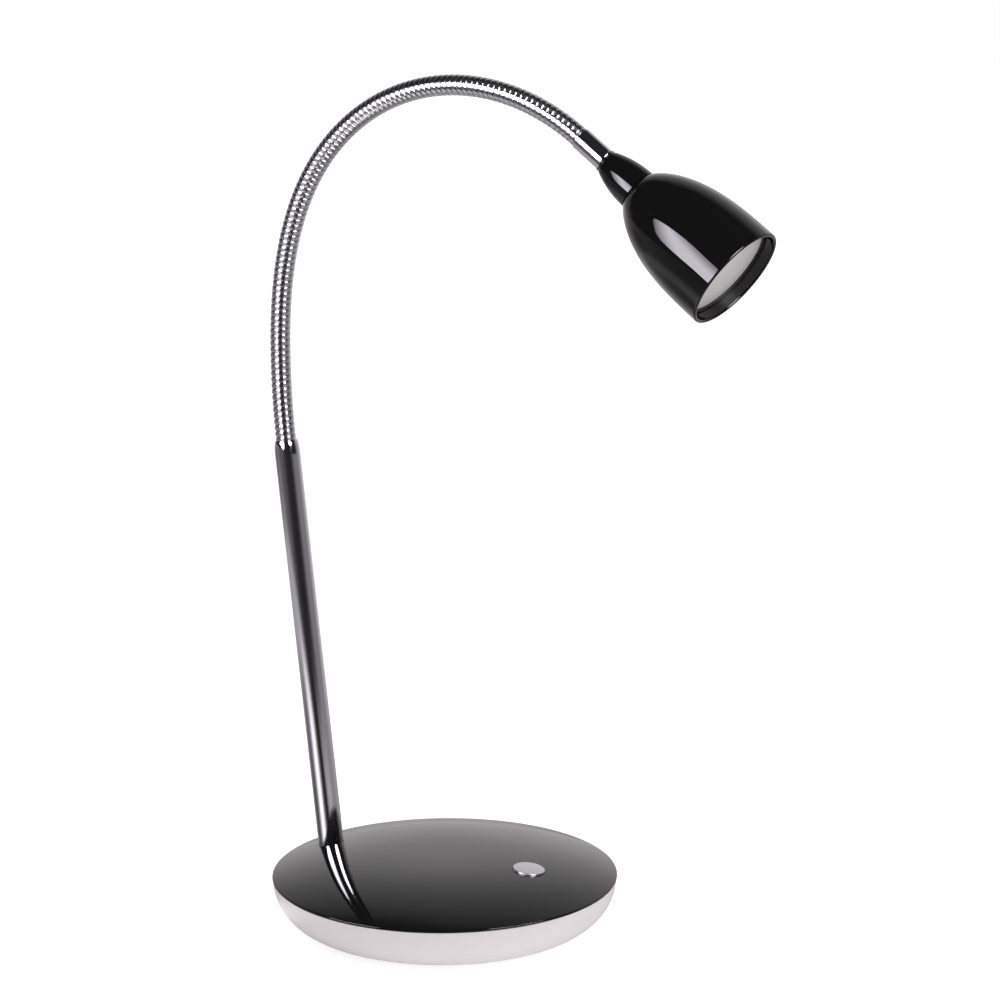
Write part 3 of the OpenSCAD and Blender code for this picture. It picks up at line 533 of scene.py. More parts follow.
def arc(r, z, radius, start, end, steps):
    """Outline points along an arc about (r, z), with angles in degrees from the outward direction."""
    return [
        (r + radius * cos(radians(a)), z + radius * sin(radians(a)))
        for a in (start + (end - start) * i / steps for i in range(steps + 1))
    ]


def steps_between(low, high, count, power=1.0):
    """Numbers from low to high, closer together near low when power is over 1."""
    return [low + (high - low) * (i / count) ** power for i in range(count + 1)]


def dressed(name, body, slot, *replaced):
    """Says what a finished piece rides on and hides the solids that it stands for; its slot is not used."""
    piece = bpy.data.objects[name]
    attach(piece, body)
    if replaced:
        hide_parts(*replaced)
    return piece


# ---- Base ----


def cut(piece, form, place, name):
    """Cuts a bmesh in millimetres out of a piece, exactly."""
    cutter = finish_mesh(name, form, place, piece.data.materials[0])
    tool = piece.modifiers.new("cut", "BOOLEAN")
    tool.operation = "DIFFERENCE"
    tool.solver = "EXACT"
    tool.object = cutter
    graph = bpy.context.evaluated_depsgraph_get()
    result = bpy.data.meshes.new_from_object(piece.evaluated_get(graph))
    piece.modifiers.clear()
    old = piece.data
    piece.data = result
    result.name = old.name
    bpy.data.meshes.remove(old)
    bpy.data.objects.remove(cutter)


def dome_normals(mesh):
    """Gives the dome its true normals, so that its reflection has no ripples around the holes.

    A corner is on the dome when it is this near it and its normal nearly agrees."""
    near, agree = 0.01, 0.97
    normals = []
    for corner, normal in zip(mesh.loops, mesh.corner_normals):
        point = mesh.vertices[corner.vertex_index].co / MM
        r = point.xy.length
        on_dome = r < BASE_R - EDGE_R and abs(point.z - dome(r)) < near
        outward = Vector((0, 0, 1))
        if r > POLE_R:
            lean = dome_slope(r)
            outward = Vector((point.x / r * sin(lean), point.y / r * sin(lean), cos(lean)))
        facing = Vector(normal.vector)
        normals.append(outward if on_dome and facing.dot(outward) > agree else facing)
    mesh.normals_split_custom_set(normals)


def make_cover():
    """The black top cover: a shallow dome with a rounded edge, and a skirt inside the dish."""
    edge_lean = degrees(dome_slope(BASE_R))
    edge_x = BASE_R - EDGE_R * (1 - sin(radians(edge_lean)))
    top = [(r, dome(r)) for r in steps_between(0, edge_x, 90)]
    edge = arc(BASE_R - EDGE_R, RIM_H, EDGE_R, 90 - edge_lean, -90, 12)
    skirt = [
        (SKIRT_R, DISH_TOP), (SKIRT_R, DISH_TOP - SKIRT_H),
        (SKIRT_R - SKIRT_T, DISH_TOP - SKIRT_H),
    ]
    under = [(r, dome(r) - COVER_T) for r in reversed(steps_between(0, SKIRT_R - SKIRT_T, 40))]
    form = lathed(top + edge[1:] + skirt + under, turns=256)
    cover = finish_mesh("cover", form, Matrix(), FINISHES["gloss_black"])
    for name, r, reach, place in (
        ("stem_hole", STEM_D / 2 + LOOSE_GAP, 40, STEM_PLACE),
        ("button_hole", BUTTON_D / 2 + SLIDE_GAP, 9, BUTTON_PLACE),
    ):
        hole = lathed([(0, -reach), (r, -reach), (r, reach), (0, reach)], turns=96)
        cut(cover, hole, place, name)
    cover.data.shade_smooth()
    cover.data.set_sharp_from_angle(angle=SHARP)
    dome_normals(cover.data)
    dressed("cover", "root", "gloss_black", "top_cover")


make_cover()


def make_button():
    """The push button: a turned disc with a broken edge and a slightly crowned face."""
    r = BUTTON_D / 2
    bevel, crown = 0.35, 0.12
    face = [(x, BUTTON_PROUD - crown * (x / r) ** 2) for x in steps_between(0, r - bevel, 12)]
    edge = arc(r - bevel, BUTTON_PROUD - crown - bevel, bevel, 90, 0, 8)
    flange_r, flange_top = r + BUTTON_FLANGE_OUT, BUTTON_FLANGE + BUTTON_FLANGE_T
    foot = [(r, flange_top), (flange_r, flange_top), (flange_r, BUTTON_FLANGE), (0, BUTTON_FLANGE)]
    form = lathed(face + edge + foot, turns=128)
    finish_mesh("push_button", form, BUTTON_PLACE, FINISHES["button_satin"])
    dressed("push_button", "button", "button_satin", "button")


def spring_tree():
    """Geometry nodes that wind a round wire into an open coil."""
    tree = bpy.data.node_groups.new("coil_spring", "GeometryNodeTree")
    for size in ("Turns", "Coil Radius", "Rise", "Wire Radius"):
        tree.interface.new_socket(size, in_out="INPUT", socket_type="NodeSocketFloat")
    tree.interface.new_socket("Finish", in_out="INPUT", socket_type="NodeSocketMaterial")
    tree.interface.new_socket("Spring", in_out="OUTPUT", socket_type="NodeSocketGeometry")
    given = add_node(tree, "NodeGroupInput").outputs
    path = add_node(tree, "GeometryNodeCurveSpiral", {
        "Resolution": 32, "Rotations": given["Turns"], "Start Radius": given["Coil Radius"],
        "End Radius": given["Coil Radius"], "Height": given["Rise"],
    }).outputs[0]
    section = add_node(tree, "GeometryNodeCurvePrimitiveCircle", {
        "Resolution": 12, "Radius": given["Wire Radius"],
    }).outputs[0]
    wire = add_node(tree, "GeometryNodeCurveToMesh", {
        "Curve": path, "Profile Curve": section, "Fill Caps": True,
    }).outputs[0]
    real = add_node(tree, "GeometryNodeRealizeInstances", {"Geometry": wire}).outputs[0]
    finished = add_node(tree, "GeometryNodeSetMaterial", {"Geometry": real, "Material": given["Finish"]})
    add_node(tree, "NodeGroupOutput", {0: finished.outputs[0]})
    return tree


def wound(made, tree, sizes):
    """Runs a tree on an object with sizes for its named inputs, and keeps the result as a mesh."""
    winder = made.modifiers.new("wind", "NODES")
    winder.node_group = tree
    items = tree.interface.items_tree
    sockets = {item.name: item.identifier for item in items if item.item_type == "SOCKET"}
    for size, value in sizes.items():
        winder[sockets[size]] = value
    graph = bpy.context.evaluated_depsgraph_get()
    solid = bpy.data.meshes.new_from_object(made.evaluated_get(graph))
    made.modifiers.clear()
    start = made.data
    made.data = solid
    bpy.data.meshes.remove(start)
    form = bmesh.new()
    form.from_mesh(solid)
    bmesh.ops.recalc_face_normals(form, faces=form.faces)
    form.to_mesh(solid)
    form.free()
    solid.name = made.name
    solid.shade_smooth()
    solid.set_sharp_from_angle(angle=WIRE_SHARP)
    return solid


def make_spring():
    """The button's return spring, wound under the button's flange."""
    foot = BUTTON_PLACE @ Matrix.Translation((0, 0, BUTTON_FLANGE - SPRING_LEN))
    made = in_scene("return_spring", bpy.data.meshes.new("return_spring"))
    clear = SPRING_WIRE_R + TOUCH_GAP
    coil = wound(made, spring_tree(), {
        "Turns": SPRING_TURNS, "Coil Radius": SPRING_R * MM, "Rise": (SPRING_LEN - 2 * clear) * MM,
        "Wire Radius": SPRING_WIRE_R * MM, "Finish": FINISHES["spring_steel"],
    })
    place = foot @ Matrix.Translation((0, 0, clear))
    coil.transform(Matrix.Translation(place.translation * MM) @ place.to_3x3().to_4x4())
    dressed("return_spring", "root", "spring_steel", "button_spring")
    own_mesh(made)


make_button()
make_spring()


# ---- Stem ----


def make_stem():
    """The chromed tube, drawn in at its top around the neck."""
    r, bore = STEM_D / 2, STUB_D / 2 + FIT_GAP
    end_r, lip = bore + STEM_END_WALL, 0.12
    swage = [
        (end_r + (r - end_r) * sqrt(1 - (1 - z / STEM_SWAGE) ** 2), STEM_LEN - z)
        for z in reversed(steps_between(lip, STEM_SWAGE, 28, 2))
    ]
    wall = [(r, z) for z in steps_between(-STEM_IN, STEM_LEN - STEM_SWAGE, 24)]
    edge = arc(swage[-1][0] - lip, STEM_LEN - lip, lip, 0, 90, 5)
    inside = [(bore, z) for z in reversed(steps_between(-STEM_IN, STEM_LEN, 2))]
    form = lathed(wall + swage[1:] + edge[1:] + inside, turns=96)
    mark_axis(finish_mesh("stem_tube", form, STEM_PLACE, FINISHES["chrome"]), STEM_PLACE)
    dressed("stem_tube", "root", "chrome", "stem")


make_stem()


# ---- Neck ----

WIRE_SIDES = 56
RINGS_PER_RIB = 16
PATH_STEP = 0.4
STUB_IN = 12.0
MERGE_WITHIN = 1e-6


def neck_tree():
    """Geometry nodes that wind a ribbed tube around a centreline, cut along its grooves.

    The wall follows the helix, so each end of a stretch lies in a groove and meets the next one."""
    tree = bpy.data.node_groups.new("wound_neck", "GeometryNodeTree")
    tree.interface.new_socket("Centreline", in_out="INPUT", socket_type="NodeSocketGeometry")
    for size in (
        "From", "Pitch", "Outer Radius", "Crown", "Groove Depth", "Bore Radius", "Stub Radius",
        "Stub Start", "Stub End",
    ):
        tree.interface.new_socket(size, in_out="INPUT", socket_type="NodeSocketFloat")
    for count in ("Ribs", "Rings Per Rib", "Sides"):
        tree.interface.new_socket(count, in_out="INPUT", socket_type="NodeSocketInt")
    tree.interface.new_socket("Bend Axis", in_out="INPUT", socket_type="NodeSocketVector")
    tree.interface.new_socket("Finish", in_out="INPUT", socket_type="NodeSocketMaterial")
    tree.interface.new_socket("Neck", in_out="OUTPUT", socket_type="NodeSocketGeometry")
    given = add_node(tree, "NodeGroupInput").outputs
    maths = maths_in(tree)

    def vectors(operation, first, second, scale=None):
        inputs = {0: first, "Scale": scale} if operation == "SCALE" else {0: first, 1: second}
        return add_node(tree, "ShaderNodeVectorMath", inputs, operation=operation).outputs[0]

    rows = maths("ADD", maths("MULTIPLY", given["Ribs"], given["Rings Per Rib"]), 1.0)
    sheet = add_node(tree, "GeometryNodeMeshGrid", {
        "Size X": 1.0, "Size Y": 1.0,
        "Vertices X": maths("ADD", given["Sides"], 1.0), "Vertices Y": rows,
    }).outputs["Mesh"]
    position = add_node(tree, "GeometryNodeInputPosition").outputs[0]
    corner = add_node(tree, "ShaderNodeSeparateXYZ", {0: position})
    turn = maths("ADD", corner.outputs["X"], 0.5)
    rib = maths("MULTIPLY", maths("ADD", corner.outputs["Y"], 0.5), given["Ribs"])
    length = maths("ADD", given["From"], maths("MULTIPLY", given["Pitch"], maths("ADD", rib, turn)))
    from_crest = maths("ABSOLUTE", maths("SUBTRACT", maths("MULTIPLY", maths("FRACT", rib), 2.0), 1.0))
    crown = maths("MULTIPLY", given["Crown"], maths("POWER", from_crest, 2.0))
    groove = maths("MULTIPLY", given["Groove Depth"], maths("POWER", from_crest, GROOVE_POWER))
    ribbed = maths("SUBTRACT", given["Outer Radius"], maths("ADD", crown, groove))
    in_stub = maths(
        "MAXIMUM",
        maths("LESS_THAN", length, given["Stub Start"]),
        maths("GREATER_THAN", length, given["Stub End"]),
    )
    radius = add_node(
        tree, "GeometryNodeSwitch", {"Switch": in_stub, "False": ribbed, "True": given["Stub Radius"]},
        input_type="FLOAT",
    ).outputs[0]
    line = add_node(tree, "GeometryNodeMeshToCurve", {"Mesh": given["Centreline"]}).outputs["Curve"]
    sample = add_node(
        tree, "GeometryNodeSampleCurve",
        {"Curves": line, "Length": maths("ADD", length, (STUB_IN + RIB_PITCH) * MM)},
        mode="LENGTH", data_type="FLOAT", use_all_curves=True,
    ).outputs
    inward = vectors("CROSS_PRODUCT", given["Bend Axis"], sample["Tangent"])
    angle = maths("MULTIPLY", turn, 2 * pi)
    ray = vectors(
        "ADD",
        vectors("SCALE", inward, None, maths("COSINE", angle)),
        vectors("SCALE", given["Bend Axis"], None, maths("SINE", angle)),
    )
    outside = vectors("ADD", sample["Position"], vectors("SCALE", ray, None, radius))
    inside = vectors("ADD", sample["Position"], vectors("SCALE", ray, None, given["Bore Radius"]))
    marked = sheet
    for name, value in (("bore", inside), ("axis", sample["Tangent"])):
        marked = add_node(
            tree, "GeometryNodeStoreNamedAttribute", {"Geometry": marked, "Name": name, "Value": value},
            data_type="FLOAT_VECTOR", domain="POINT",
        ).outputs[0]
    skin = add_node(tree, "GeometryNodeSetPosition", {"Geometry": marked, "Position": outside}).outputs[0]
    skin = add_node(tree, "GeometryNodeMergeByDistance", {
        "Geometry": skin, "Distance": MERGE_WITHIN,
    }).outputs[0]
    wall = add_node(
        tree, "GeometryNodeExtrudeMesh", {"Mesh": skin, "Offset Scale": 0.0, "Individual": False},
        mode="FACES",
    ).outputs
    bore = add_node(
        tree, "GeometryNodeInputNamedAttribute", {"Name": "bore"}, data_type="FLOAT_VECTOR",
    ).outputs[0]
    wall = add_node(tree, "GeometryNodeSetPosition", {
        "Geometry": wall["Mesh"], "Selection": wall["Top"], "Position": bore,
    }).outputs[0]
    wall = add_node(tree, "GeometryNodeFlipFaces", {"Mesh": wall}).outputs[0]
    joined = add_node(tree, "GeometryNodeJoinGeometry")
    tree.links.new(wall, joined.inputs[0])
    tree.links.new(skin, joined.inputs[0])
    solid = add_node(tree, "GeometryNodeMergeByDistance", {
        "Geometry": joined.outputs[0], "Distance": MERGE_WITHIN,
    }).outputs[0]
    solid = add_node(tree, "GeometryNodeRemoveAttribute", {"Geometry": solid, "Name": "bore"}).outputs[0]
    real = add_node(tree, "GeometryNodeRealizeInstances", {"Geometry": solid}).outputs[0]
    finished = add_node(tree, "GeometryNodeSetMaterial", {"Geometry": real, "Material": given["Finish"]})
    add_node(tree, "NodeGroupOutput", {0: finished.outputs[0]})
    return tree


def neck_stretch(name, tree, start, ribs):
    """One stretch of the neck as a plain closed mesh, wound from arc length start."""
    low, high = -STUB_IN - RIB_PITCH, NECK_LEN + STUB_IN + RIB_PITCH
    count = ceil((high - low) / PATH_STEP)
    points = [ARM_PLACE @ neck_point(s) * MM for s in steps_between(low, high, count)]
    mesh = bpy.data.meshes.new(name)
    mesh.from_pydata(points, [(i, i + 1) for i in range(count)], [])
    made = in_scene(name, mesh)
    wound(made, tree, {
        "From": start * MM, "Pitch": RIB_PITCH * MM, "Outer Radius": NECK_D / 2 * MM,
        "Crown": RIB_CROWN * MM, "Groove Depth": GROOVE * MM, "Bore Radius": NECK_BORE_D / 2 * MM,
        "Stub Radius": STUB_D / 2 * MM, "Stub Start": 0.0, "Stub End": NECK_LEN * MM,
        "Ribs": ribs, "Rings Per Rib": RINGS_PER_RIB, "Sides": WIRE_SIDES,
        "Bend Axis": tuple(ARM_PLACE.to_3x3() @ Vector((0, 1, 0))), "Finish": WIRE,
    })
    return made


def make_neck():
    """The wound neck in stretches: one at each end, and one across each joint between two links."""
    tree = neck_tree()
    end_ribs = RIBS_PER_LINK // 2 + round(STUB_IN / RIB_PITCH)
    first = neck_stretch("neck_wire_00", tree, -STUB_IN, end_ribs)
    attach(first, "root")
    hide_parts("neck_01")
    for i in range(1, LINK_COUNT):
        low = (i - 0.5) * LINK_LEN
        stretch = neck_stretch(f"neck_wire_{i:02d}", tree, low, RIBS_PER_LINK)
        start, end = (ARM_PLACE @ neck_point(s) * MM for s in (low + RIB_PITCH, low + LINK_LEN))
        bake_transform(stretch)
        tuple(start)
        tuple(end)
        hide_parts(f"neck_{i + 1:02d}")
    last = neck_stretch(f"neck_wire_{LINK_COUNT}", tree, NECK_LEN - LINK_LEN / 2, end_ribs - 1)
    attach(last, "head")


make_neck()


# ---- Head ----


def cap_radius(z):
    """The neck cap's radius at a distance z along it."""
    return CAP_SMALL_R + (CAP_BIG_R - CAP_SMALL_R) * (1 - (1 - z / CAP_LEN) ** CAP_POWER)


def shade_radius(z):
    """The bullet: its radius at a distance z below the shade's flat top."""
    swell = (1 - (1 - min(1, z / SHADE_LEN)) ** BULLET_LENGTH_POWER) ** (1 / BULLET_ROUND_POWER)
    return SHADE_TOP_R + (SHADE_R - SHADE_TOP_R) * swell


def make_ferrule():
    """The chrome ferrule over the neck's end, with a bead where it meets the cap."""
    r, bore = FERRULE_D / 2, STUB_D / 2 + FIT_GAP
    bead_z = FERRULE_LEN - BEAD_R
    bead_x = r - BEAD_R / 3
    meet = degrees(acos((r - bead_x) / BEAD_R))
    chamfer = 0.15
    tube = [(bore, 0), (r - chamfer, 0), (r, chamfer)]
    tube += [(r, z) for z in steps_between(0.5, bead_z - 0.7, 10)]
    bead = arc(bead_x, bead_z, BEAD_R, -meet, 90, 16)
    form = lathed(tube + bead + [(bore, FERRULE_LEN)], turns=128)
    mark_axis(finish_mesh("ferrule_tube", form, HEAD_PLACE, FINISHES["chrome"]), HEAD_PLACE)
    dressed("ferrule_tube", "head", "chrome", "ferrule")


def make_cap():
    """The bullet-shaped neck cap, a shell around the nipple."""
    rounding = 0.4
    nipple = NIPPLE_D / 2 + FIT_GAP
    start = arc(CAP_SMALL_R - rounding, rounding, rounding, -90, 0, 6)
    outer = [(cap_radius(z), z) for z in steps_between(rounding, CAP_LEN, 40)]
    inner = [(cap_radius(z) - CAP_WALL, z) for z in reversed(steps_between(2 * CAP_WALL, CAP_LEN, 20))]
    form = lathed(start + outer[1:] + inner + [(nipple, 2 * CAP_WALL), (nipple, 0)], turns=160)
    finish_mesh("neck_cap_shell", form, along_head(FERRULE_LEN), FINISHES["gloss_black"])
    dressed("neck_cap_shell", "head", "gloss_black", "neck_cap")


def make_shade():
    """The glossy bullet of the shade, with a rounded lip and the seat of the lens inside."""
    top_round, lip = 0.5, LIP_W / 2
    nipple = NIPPLE_D / 2 + FIT_GAP
    seat = LENS_FRONT - LENS_T - FERRULE_LEN - CAP_LEN
    shoulder_z = 0.35
    outer = [(shade_radius(z), z) for z in steps_between(shoulder_z, SHADE_LEN - lip, 110, 1.5)]
    first_r = outer[0][0]
    crown = [(nipple, 0), (first_r - top_round, 0), (first_r - top_round * 0.35, shoulder_z * 0.25)]
    rim = arc(SHADE_R - lip, SHADE_LEN - lip, lip, 0, 180, 20)
    recess = [(SHADE_R - LIP_W, seat)]
    inner = [(shade_radius(z) - SHADE_WALL, z) for z in reversed(steps_between(SHADE_TOP_T, seat, 50, 1.5))]
    form = lathed(crown + outer + rim[1:] + recess + inner + [(nipple, SHADE_TOP_T)], turns=256)
    finish_mesh("shade_shell", form, along_head(FERRULE_LEN + CAP_LEN), FINISHES["gloss_black"])
    dressed("shade_shell", "head", "gloss_black", "shade")


make_ferrule()
make_cap()
make_shade()


# ---- Studio ----

# Sizes and outlines in metres, and radiances
FLOOR_SIZE = 4.0
TABLE_SIZE = 6.0
TABLE_GAP = 0.0005
TENT_GLOW = 0.58
FLOOR_GLOW = 0.46
LEFT_BOX_GLOW = 13.5
LEFT_BOX = (
    (-0.5, 0.19), (-0.47, 0.27), (-0.38, 0.31), (-0.15, 0.345), (0.12, 0.345), (0.25, 0.31),
    (0.42, 0.2), (0.5, 0.05), (0.5, -0.3), (0.4, -0.42), (0.1, -0.41), (-0.06, -0.32),
    (-0.28, -0.27), (-0.43, -0.21), (-0.5, -0.12),
)
LEFT_BOX_FADES = (((1, 0, 0), -0.13, -0.56, 0.05), ((1, 0.9, 0), 0.1, 0.5, 0.4))
RIGHT_BOX_GLOW = 14.0
RIGHT_BOX = (
    (-0.36, 0.24), (-0.2, 0.4), (0.2, 0.4), (0.36, 0.24), (0.36, -0.24), (0.2, -0.4),
    (-0.2, -0.4), (-0.36, -0.24),
)
RIM_LIGHT_HALF_HEIGHT = 0.03
RIM_LIGHT_GLOW = 60.0
SKY_SPREAD = 110
HEAD_CENTRE = along_head(RIM_Z - SHADE_LEN / 2).translation * MM
RIM_CENTRE = Vector((0, 0, RIM_H)) * MM


def towards(azimuth, elevation):
    """Direction from the lamp in the model's own frame; 0, 0 is straight away from the camera."""
    a, e = radians(azimuth), radians(elevation)
    return VIEW_TURN @ Vector((sin(a) * cos(e), cos(a) * cos(e), sin(e)))


def start_glow(name):
    """A material for a surface that only shines, its tree and its Object coordinates."""
    made = bpy.data.materials.new(name)
    made.use_nodes = True
    tree = made.node_tree
    tree.nodes.remove(tree.nodes["Principled BSDF"])
    place = add_node(tree, "ShaderNodeTexCoord").outputs["Object"]
    return made, tree, place


def finish_glow(tree, colour, strength):
    """Gives the surface its shine."""
    lamp = add_node(tree, "ShaderNodeEmission", {"Color": linear(colour), "Strength": strength})
    tree.links.new(lamp.outputs[0], tree.nodes["Material Output"].inputs["Surface"])


def soft_box(name, place, outline, radiance, colour, fades=(), on_cover="EXCLUDE"):
    """A glowing panel that only mirrors see. Each fade dims it between two values of a
    direction's reach over the panel: the direction, where it starts and ends, and what is left.
    It is flagged off the cover, so that it doesn't blaze there, or else shines on it alone."""
    mesh = flat_mesh(name, outline)
    glow, tree, spot = start_glow(name)
    strength = radiance
    for direction, start, end, left in fades:
        reach = add_node(
            tree, "ShaderNodeVectorMath", {0: spot, 1: direction}, operation="DOT_PRODUCT",
        ).outputs["Value"]
        share = add_node(tree, "ShaderNodeMapRange", {
            "Value": reach, "From Min": start, "From Max": end, "To Min": 1.0, "To Max": left,
        }).outputs["Result"]
        strength = maths_in(tree)("MULTIPLY", share, strength)
    finish_glow(tree, colour, strength)
    mesh.materials.append(glow)
    panel = in_scene(name, mesh)
    panel.matrix_world = place
    only_in_mirrors(panel)
    flag = bpy.data.collections.new(f"{name}_flag")
    flag.objects.link(bpy.data.objects["cover"])
    flag.collection_objects[0].light_linking.link_state = on_cover
    panel.light_linking.receiver_collection = flag


def only_in_mirrors(panel):
    """Keeps a light surface of the studio out of everything but reflections."""
    panel.visible_camera = False
    panel.visible_diffuse = False
    panel.visible_transmission = False
    panel.visible_shadow = False


def facing(target, azimuth, elevation, distance):
    """A place at a distance from a point of the lamp, turned to face it."""
    direction = towards(azimuth, elevation)
    turn = direction.to_track_quat("Z", "Y").to_matrix().to_4x4()
    return Matrix.Translation(target + direction * distance) @ turn


def soft_sky(name, radiance, origin):
    """A wide soft light that mirrors don't see, given how bright it makes a white surface."""
    light = bpy.data.lights.new(name, "SUN")
    light.energy = radiance * pi
    light.angle = radians(SKY_SPREAD)
    made = in_scene(name, light)
    made.matrix_world = origin.to_track_quat("Z", "Y").to_matrix().to_4x4()
    made.visible_glossy = False


def curve_node(tree, value, points):
    """A smooth curve through points, whose first numbers span the range of the value."""
    low, high = points[0][0], points[-1][0]
    share = add_node(
        tree, "ShaderNodeMapRange", {"Value": value, "From Min": low, "From Max": high},
    ).outputs["Result"]
    made = add_node(tree, "ShaderNodeFloatCurve", {"Value": share})
    line = made.mapping.curves[0]
    places = [((x - low) / (high - low), y) for x, y in points]
    line.points[0].location, line.points[1].location = places[0], places[-1]
    for x, y in places[1:-1]:
        line.points.new(x, y)
    made.mapping.update()
    return made.outputs[0]


# The table as mirrors see it, a sum of pools of light. Each is a radiance, a share by azimuth in
# degrees from straight away from the camera, and a share by metres from the stem's foot.
TABLE_POOLS = (
    # The even light from behind, which wraps around the sides
    (0.95, (
        (-180, 0.03), (-160, 0.04), (-135, 0.1), (-110, 0.15), (-90, 0.22), (-66, 0.3), (-54, 0.48),
        (-42, 0.7), (-30, 0.87), (-12, 1), (12, 1), (30, 0.85), (42, 0.72), (54, 0.6), (66, 0.48),
        (78, 0.36), (92, 0.27), (115, 0.26), (130, 0.2), (145, 0.07), (160, 0.03), (180, 0.03),
    ), (
        (0, 0.35), (0.11, 0.48), (0.19, 0.57), (0.26, 0.61), (0.34, 0.7), (0.42, 0.83), (0.5, 0.98),
        (0.7, 1),
    )),
    # The darker patch behind the sweep's fold
    (-0.3, ((-80, 0), (-55, 0.7), (-30, 1), (0, 1), (15, 0.5), (30, 0)),
     ((0.46, 0), (0.56, 1), (0.8, 1), (1.1, 0.4), (1.5, 0))),
    # The bright pool to the front left
    (1.4, ((-180, 0), (-165, 0.07), (-151, 0.45), (-138, 0.98), (-126, 1), (-114, 0.56), (-102, 0.2),
           (-88, 0)),
     ((0, 0.95), (0.2, 1), (0.3, 0.7), (0.38, 0.24), (0.5, 0))),
    # The wide pool to the left
    (0.33, ((-135, 0), (-118, 0.7), (-102, 1), (-84, 1), (-66, 0.75), (-50, 0)),
     ((0.1, 0), (0.2, 0.1), (0.28, 0.55), (0.35, 1), (0.44, 0.9), (0.52, 0.3), (0.6, 0))),
    # The soft pool to the right, which reaches to the front
    (0.45, ((50, 0), (66, 0.3), (92, 0.35), (112, 0.45), (128, 0.75), (140, 1), (152, 0.95), (164, 0.45),
            (176, 0)),
     ((0, 1), (0.26, 1), (0.43, 0.55), (0.6, 0.12), (0.75, 0))),
)


def make_mirrored_table():
    """What mirrors see of the table: the light pools on it, which fade with distance."""
    mesh = flat_mesh("mirrored_table", rectangle(TABLE_SIZE / 2, TABLE_SIZE / 2))
    glow, tree, place = start_glow("mirrored_table")
    maths = maths_in(tree)
    part = add_node(tree, "ShaderNodeSeparateXYZ", {0: place}).outputs
    azimuth = maths("DEGREES", maths("ARCTAN2", part["X"], part["Y"]))
    distance = add_node(tree, "ShaderNodeVectorMath", {0: place}, operation="LENGTH").outputs["Value"]
    total = 0.0
    for radiance, by_azimuth, by_distance in TABLE_POOLS:
        around, outwards = curve_node(tree, azimuth, by_azimuth), curve_node(tree, distance, by_distance)
        total = maths("ADD", total, maths("MULTIPLY", maths("MULTIPLY", around, outwards), radiance))
    finish_glow(tree, "#FFFAFB", total)
    mesh.materials.append(glow)
    table = in_scene("mirrored_table", mesh)
    foot = STEM_PLACE.translation * MM
    table.matrix_world = Matrix.Translation((foot.x, foot.y, TABLE_GAP)) @ VIEW_TURN.to_4x4()
    only_in_mirrors(table)


# The bright sweep behind the lamp as mirrors see it: how far it reaches in degrees to the left, to
# the right and up, how much lower it gets per degree to the left, how high its dimmer foot is in
# degrees and the share left there, and its radiance from its middle, 0, to its edge, 1
SWEEP_LEFT, SWEEP_RIGHT, SWEEP_UP, SWEEP_SLANT = 75, 100, 61, 0.4
SWEEP_FOOT, SWEEP_FOOT_SHARE = 12.0, 0.8
SWEEP_GLOW = (
    (0, 1), (0.2, 0.93), (0.42, 0.76), (0.58, 0.57), (0.75, 0.39), (0.88, 0.2), (1, 0.02), (1.2, 0),
)
DARK_ROOM = 0.025


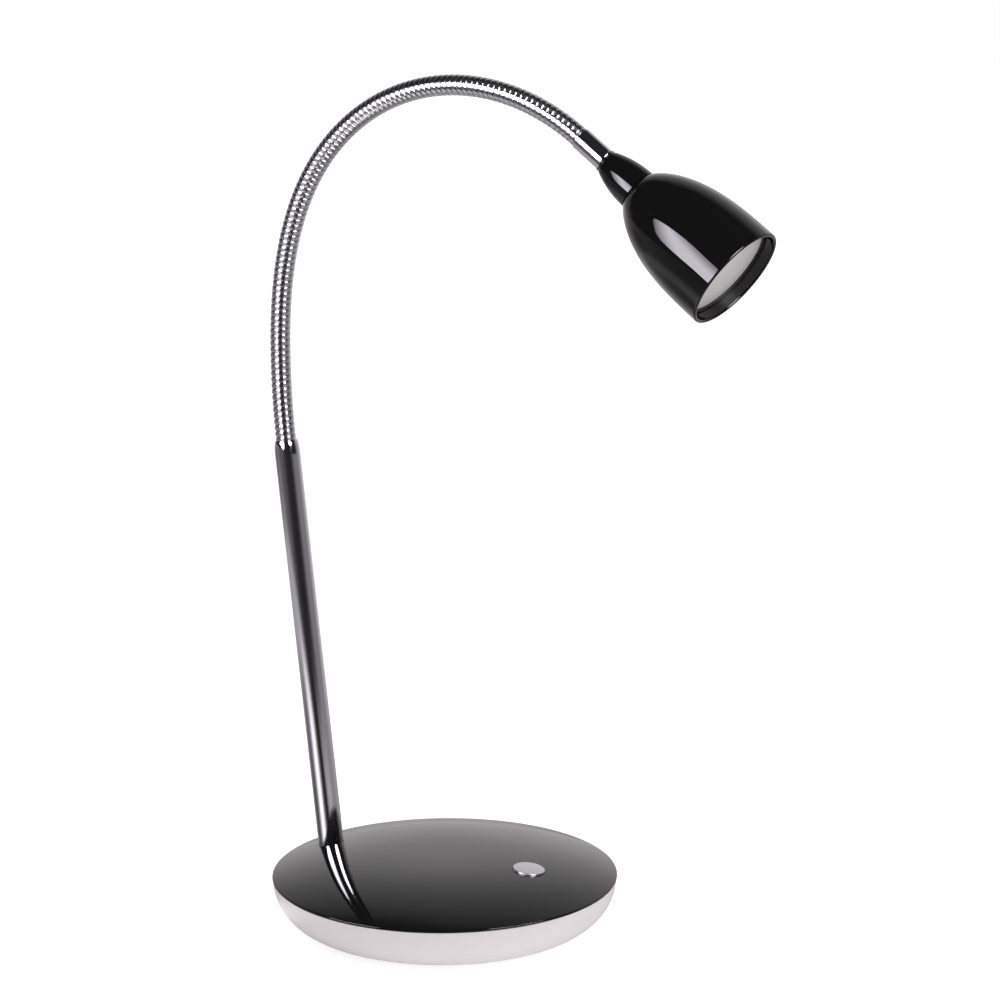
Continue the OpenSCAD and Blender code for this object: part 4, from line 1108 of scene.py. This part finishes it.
def make_world():
    """A dim room with a bright sweep behind the lamp for mirrors, and a pale tent for all else."""
    world = bpy.data.worlds.new("studio")
    bpy.context.scene.world = world
    world.use_nodes = True
    tree = world.node_tree
    room = tree.nodes["Background"]
    maths = maths_in(tree)
    direction = add_node(tree, "ShaderNodeVectorRotate", {
        "Vector": add_node(tree, "ShaderNodeTexCoord").outputs["Generated"], "Angle": -VIEW_ANGLE,
    }, rotation_type="Z_AXIS")
    part = add_node(tree, "ShaderNodeSeparateXYZ", {0: direction.outputs[0]}).outputs
    azimuth = maths("DEGREES", maths("ARCTAN2", part["X"], part["Y"]))
    elevation = maths("MAXIMUM", maths("DEGREES", maths("ARCSINE", part["Z"])), 0.0)
    to_right, to_left = maths("DIVIDE", azimuth, SWEEP_RIGHT), maths("DIVIDE", azimuth, -SWEEP_LEFT)
    sideways = maths("MAXIMUM", to_right, to_left)
    slant = maths("MULTIPLY", maths("MAXIMUM", maths("MULTIPLY", azimuth, -1.0), 0.0), SWEEP_SLANT)
    upwards = maths("DIVIDE", maths("ADD", elevation, slant), SWEEP_UP)
    from_middle = maths("SQRT", maths(
        "ADD", maths("MULTIPLY", sideways, sideways), maths("MULTIPLY", upwards, upwards),
    ))
    at_foot = add_node(tree, "ShaderNodeMapRange", {
        "Value": elevation, "From Max": SWEEP_FOOT, "To Min": SWEEP_FOOT_SHARE, "To Max": 1.0,
    }).outputs["Result"]
    glow = maths("ADD", maths("MULTIPLY", curve_node(tree, from_middle, SWEEP_GLOW), at_foot), DARK_ROOM)
    tree.links.new(glow, room.inputs["Strength"])
    room.inputs["Color"].default_value = linear("#FFFBFD")
    rays = add_node(tree, "ShaderNodeLightPath").outputs
    surround = add_node(tree, "ShaderNodeBackground", {"Color": (1, 1, 1, 1), "Strength": 1.0})
    tent = add_node(tree, "ShaderNodeBackground", {"Color": (1, 1, 1, 1), "Strength": TENT_GLOW})
    soft = add_node(tree, "ShaderNodeMixShader", {
        0: rays["Is Diffuse Ray"], 1: room.outputs[0], 2: tent.outputs[0],
    })
    mixed = add_node(tree, "ShaderNodeMixShader", {
        0: rays["Is Camera Ray"], 1: soft.outputs[0], 2: surround.outputs[0],
    })
    tree.links.new(mixed.outputs[0], tree.nodes["World Output"].inputs["Surface"])


def make_floor():
    """A plain pale table top, lit a little from below so that its shadows are faint. Mirrors see
    the mirrored table instead."""
    finish, _, shader, _ = start_finish("pale_floor", "#F7F7F7", 0.0, 0.9)
    shader.inputs["Specular IOR Level"].default_value = 0.0
    shader.inputs["Emission Color"].default_value = (1, 1, 1, 1)
    shader.inputs["Emission Strength"].default_value = FLOOR_GLOW
    mesh = flat_mesh("floor", rectangle(FLOOR_SIZE / 2, FLOOR_SIZE / 2))
    mesh.materials.append(finish)
    floor = in_scene("floor", mesh)
    floor.visible_glossy = False


make_world()
make_floor()
make_mirrored_table()
soft_box(
    "left_soft_box", facing(HEAD_CENTRE, -125, 14, 1.2), LEFT_BOX, LEFT_BOX_GLOW, "#FAF5FF",
    LEFT_BOX_FADES,
)
soft_box("right_soft_box", facing(HEAD_CENTRE, 143, 26, 1.3), RIGHT_BOX, RIGHT_BOX_GLOW, "#FFFFFF")
# The strips that draw the two thin highlights on the cover's front edge
for side, azimuth, half_width in (("left", -97, 0.41), ("right", 118, 0.38)):
    soft_box(
        f"{side}_rim_light", facing(RIM_CENTRE, azimuth, 52, 1.2),
        rectangle(half_width, RIM_LIGHT_HALF_HEIGHT), RIM_LIGHT_GLOW, "#FFFFFF",
        on_cover="INCLUDE",
    )
soft_sky("right_sky", 0.38, towards(100, 40))
soft_sky("left_sky", 0.07, towards(-100, 35))
bpy.context.scene.view_settings.view_transform = "Standard"
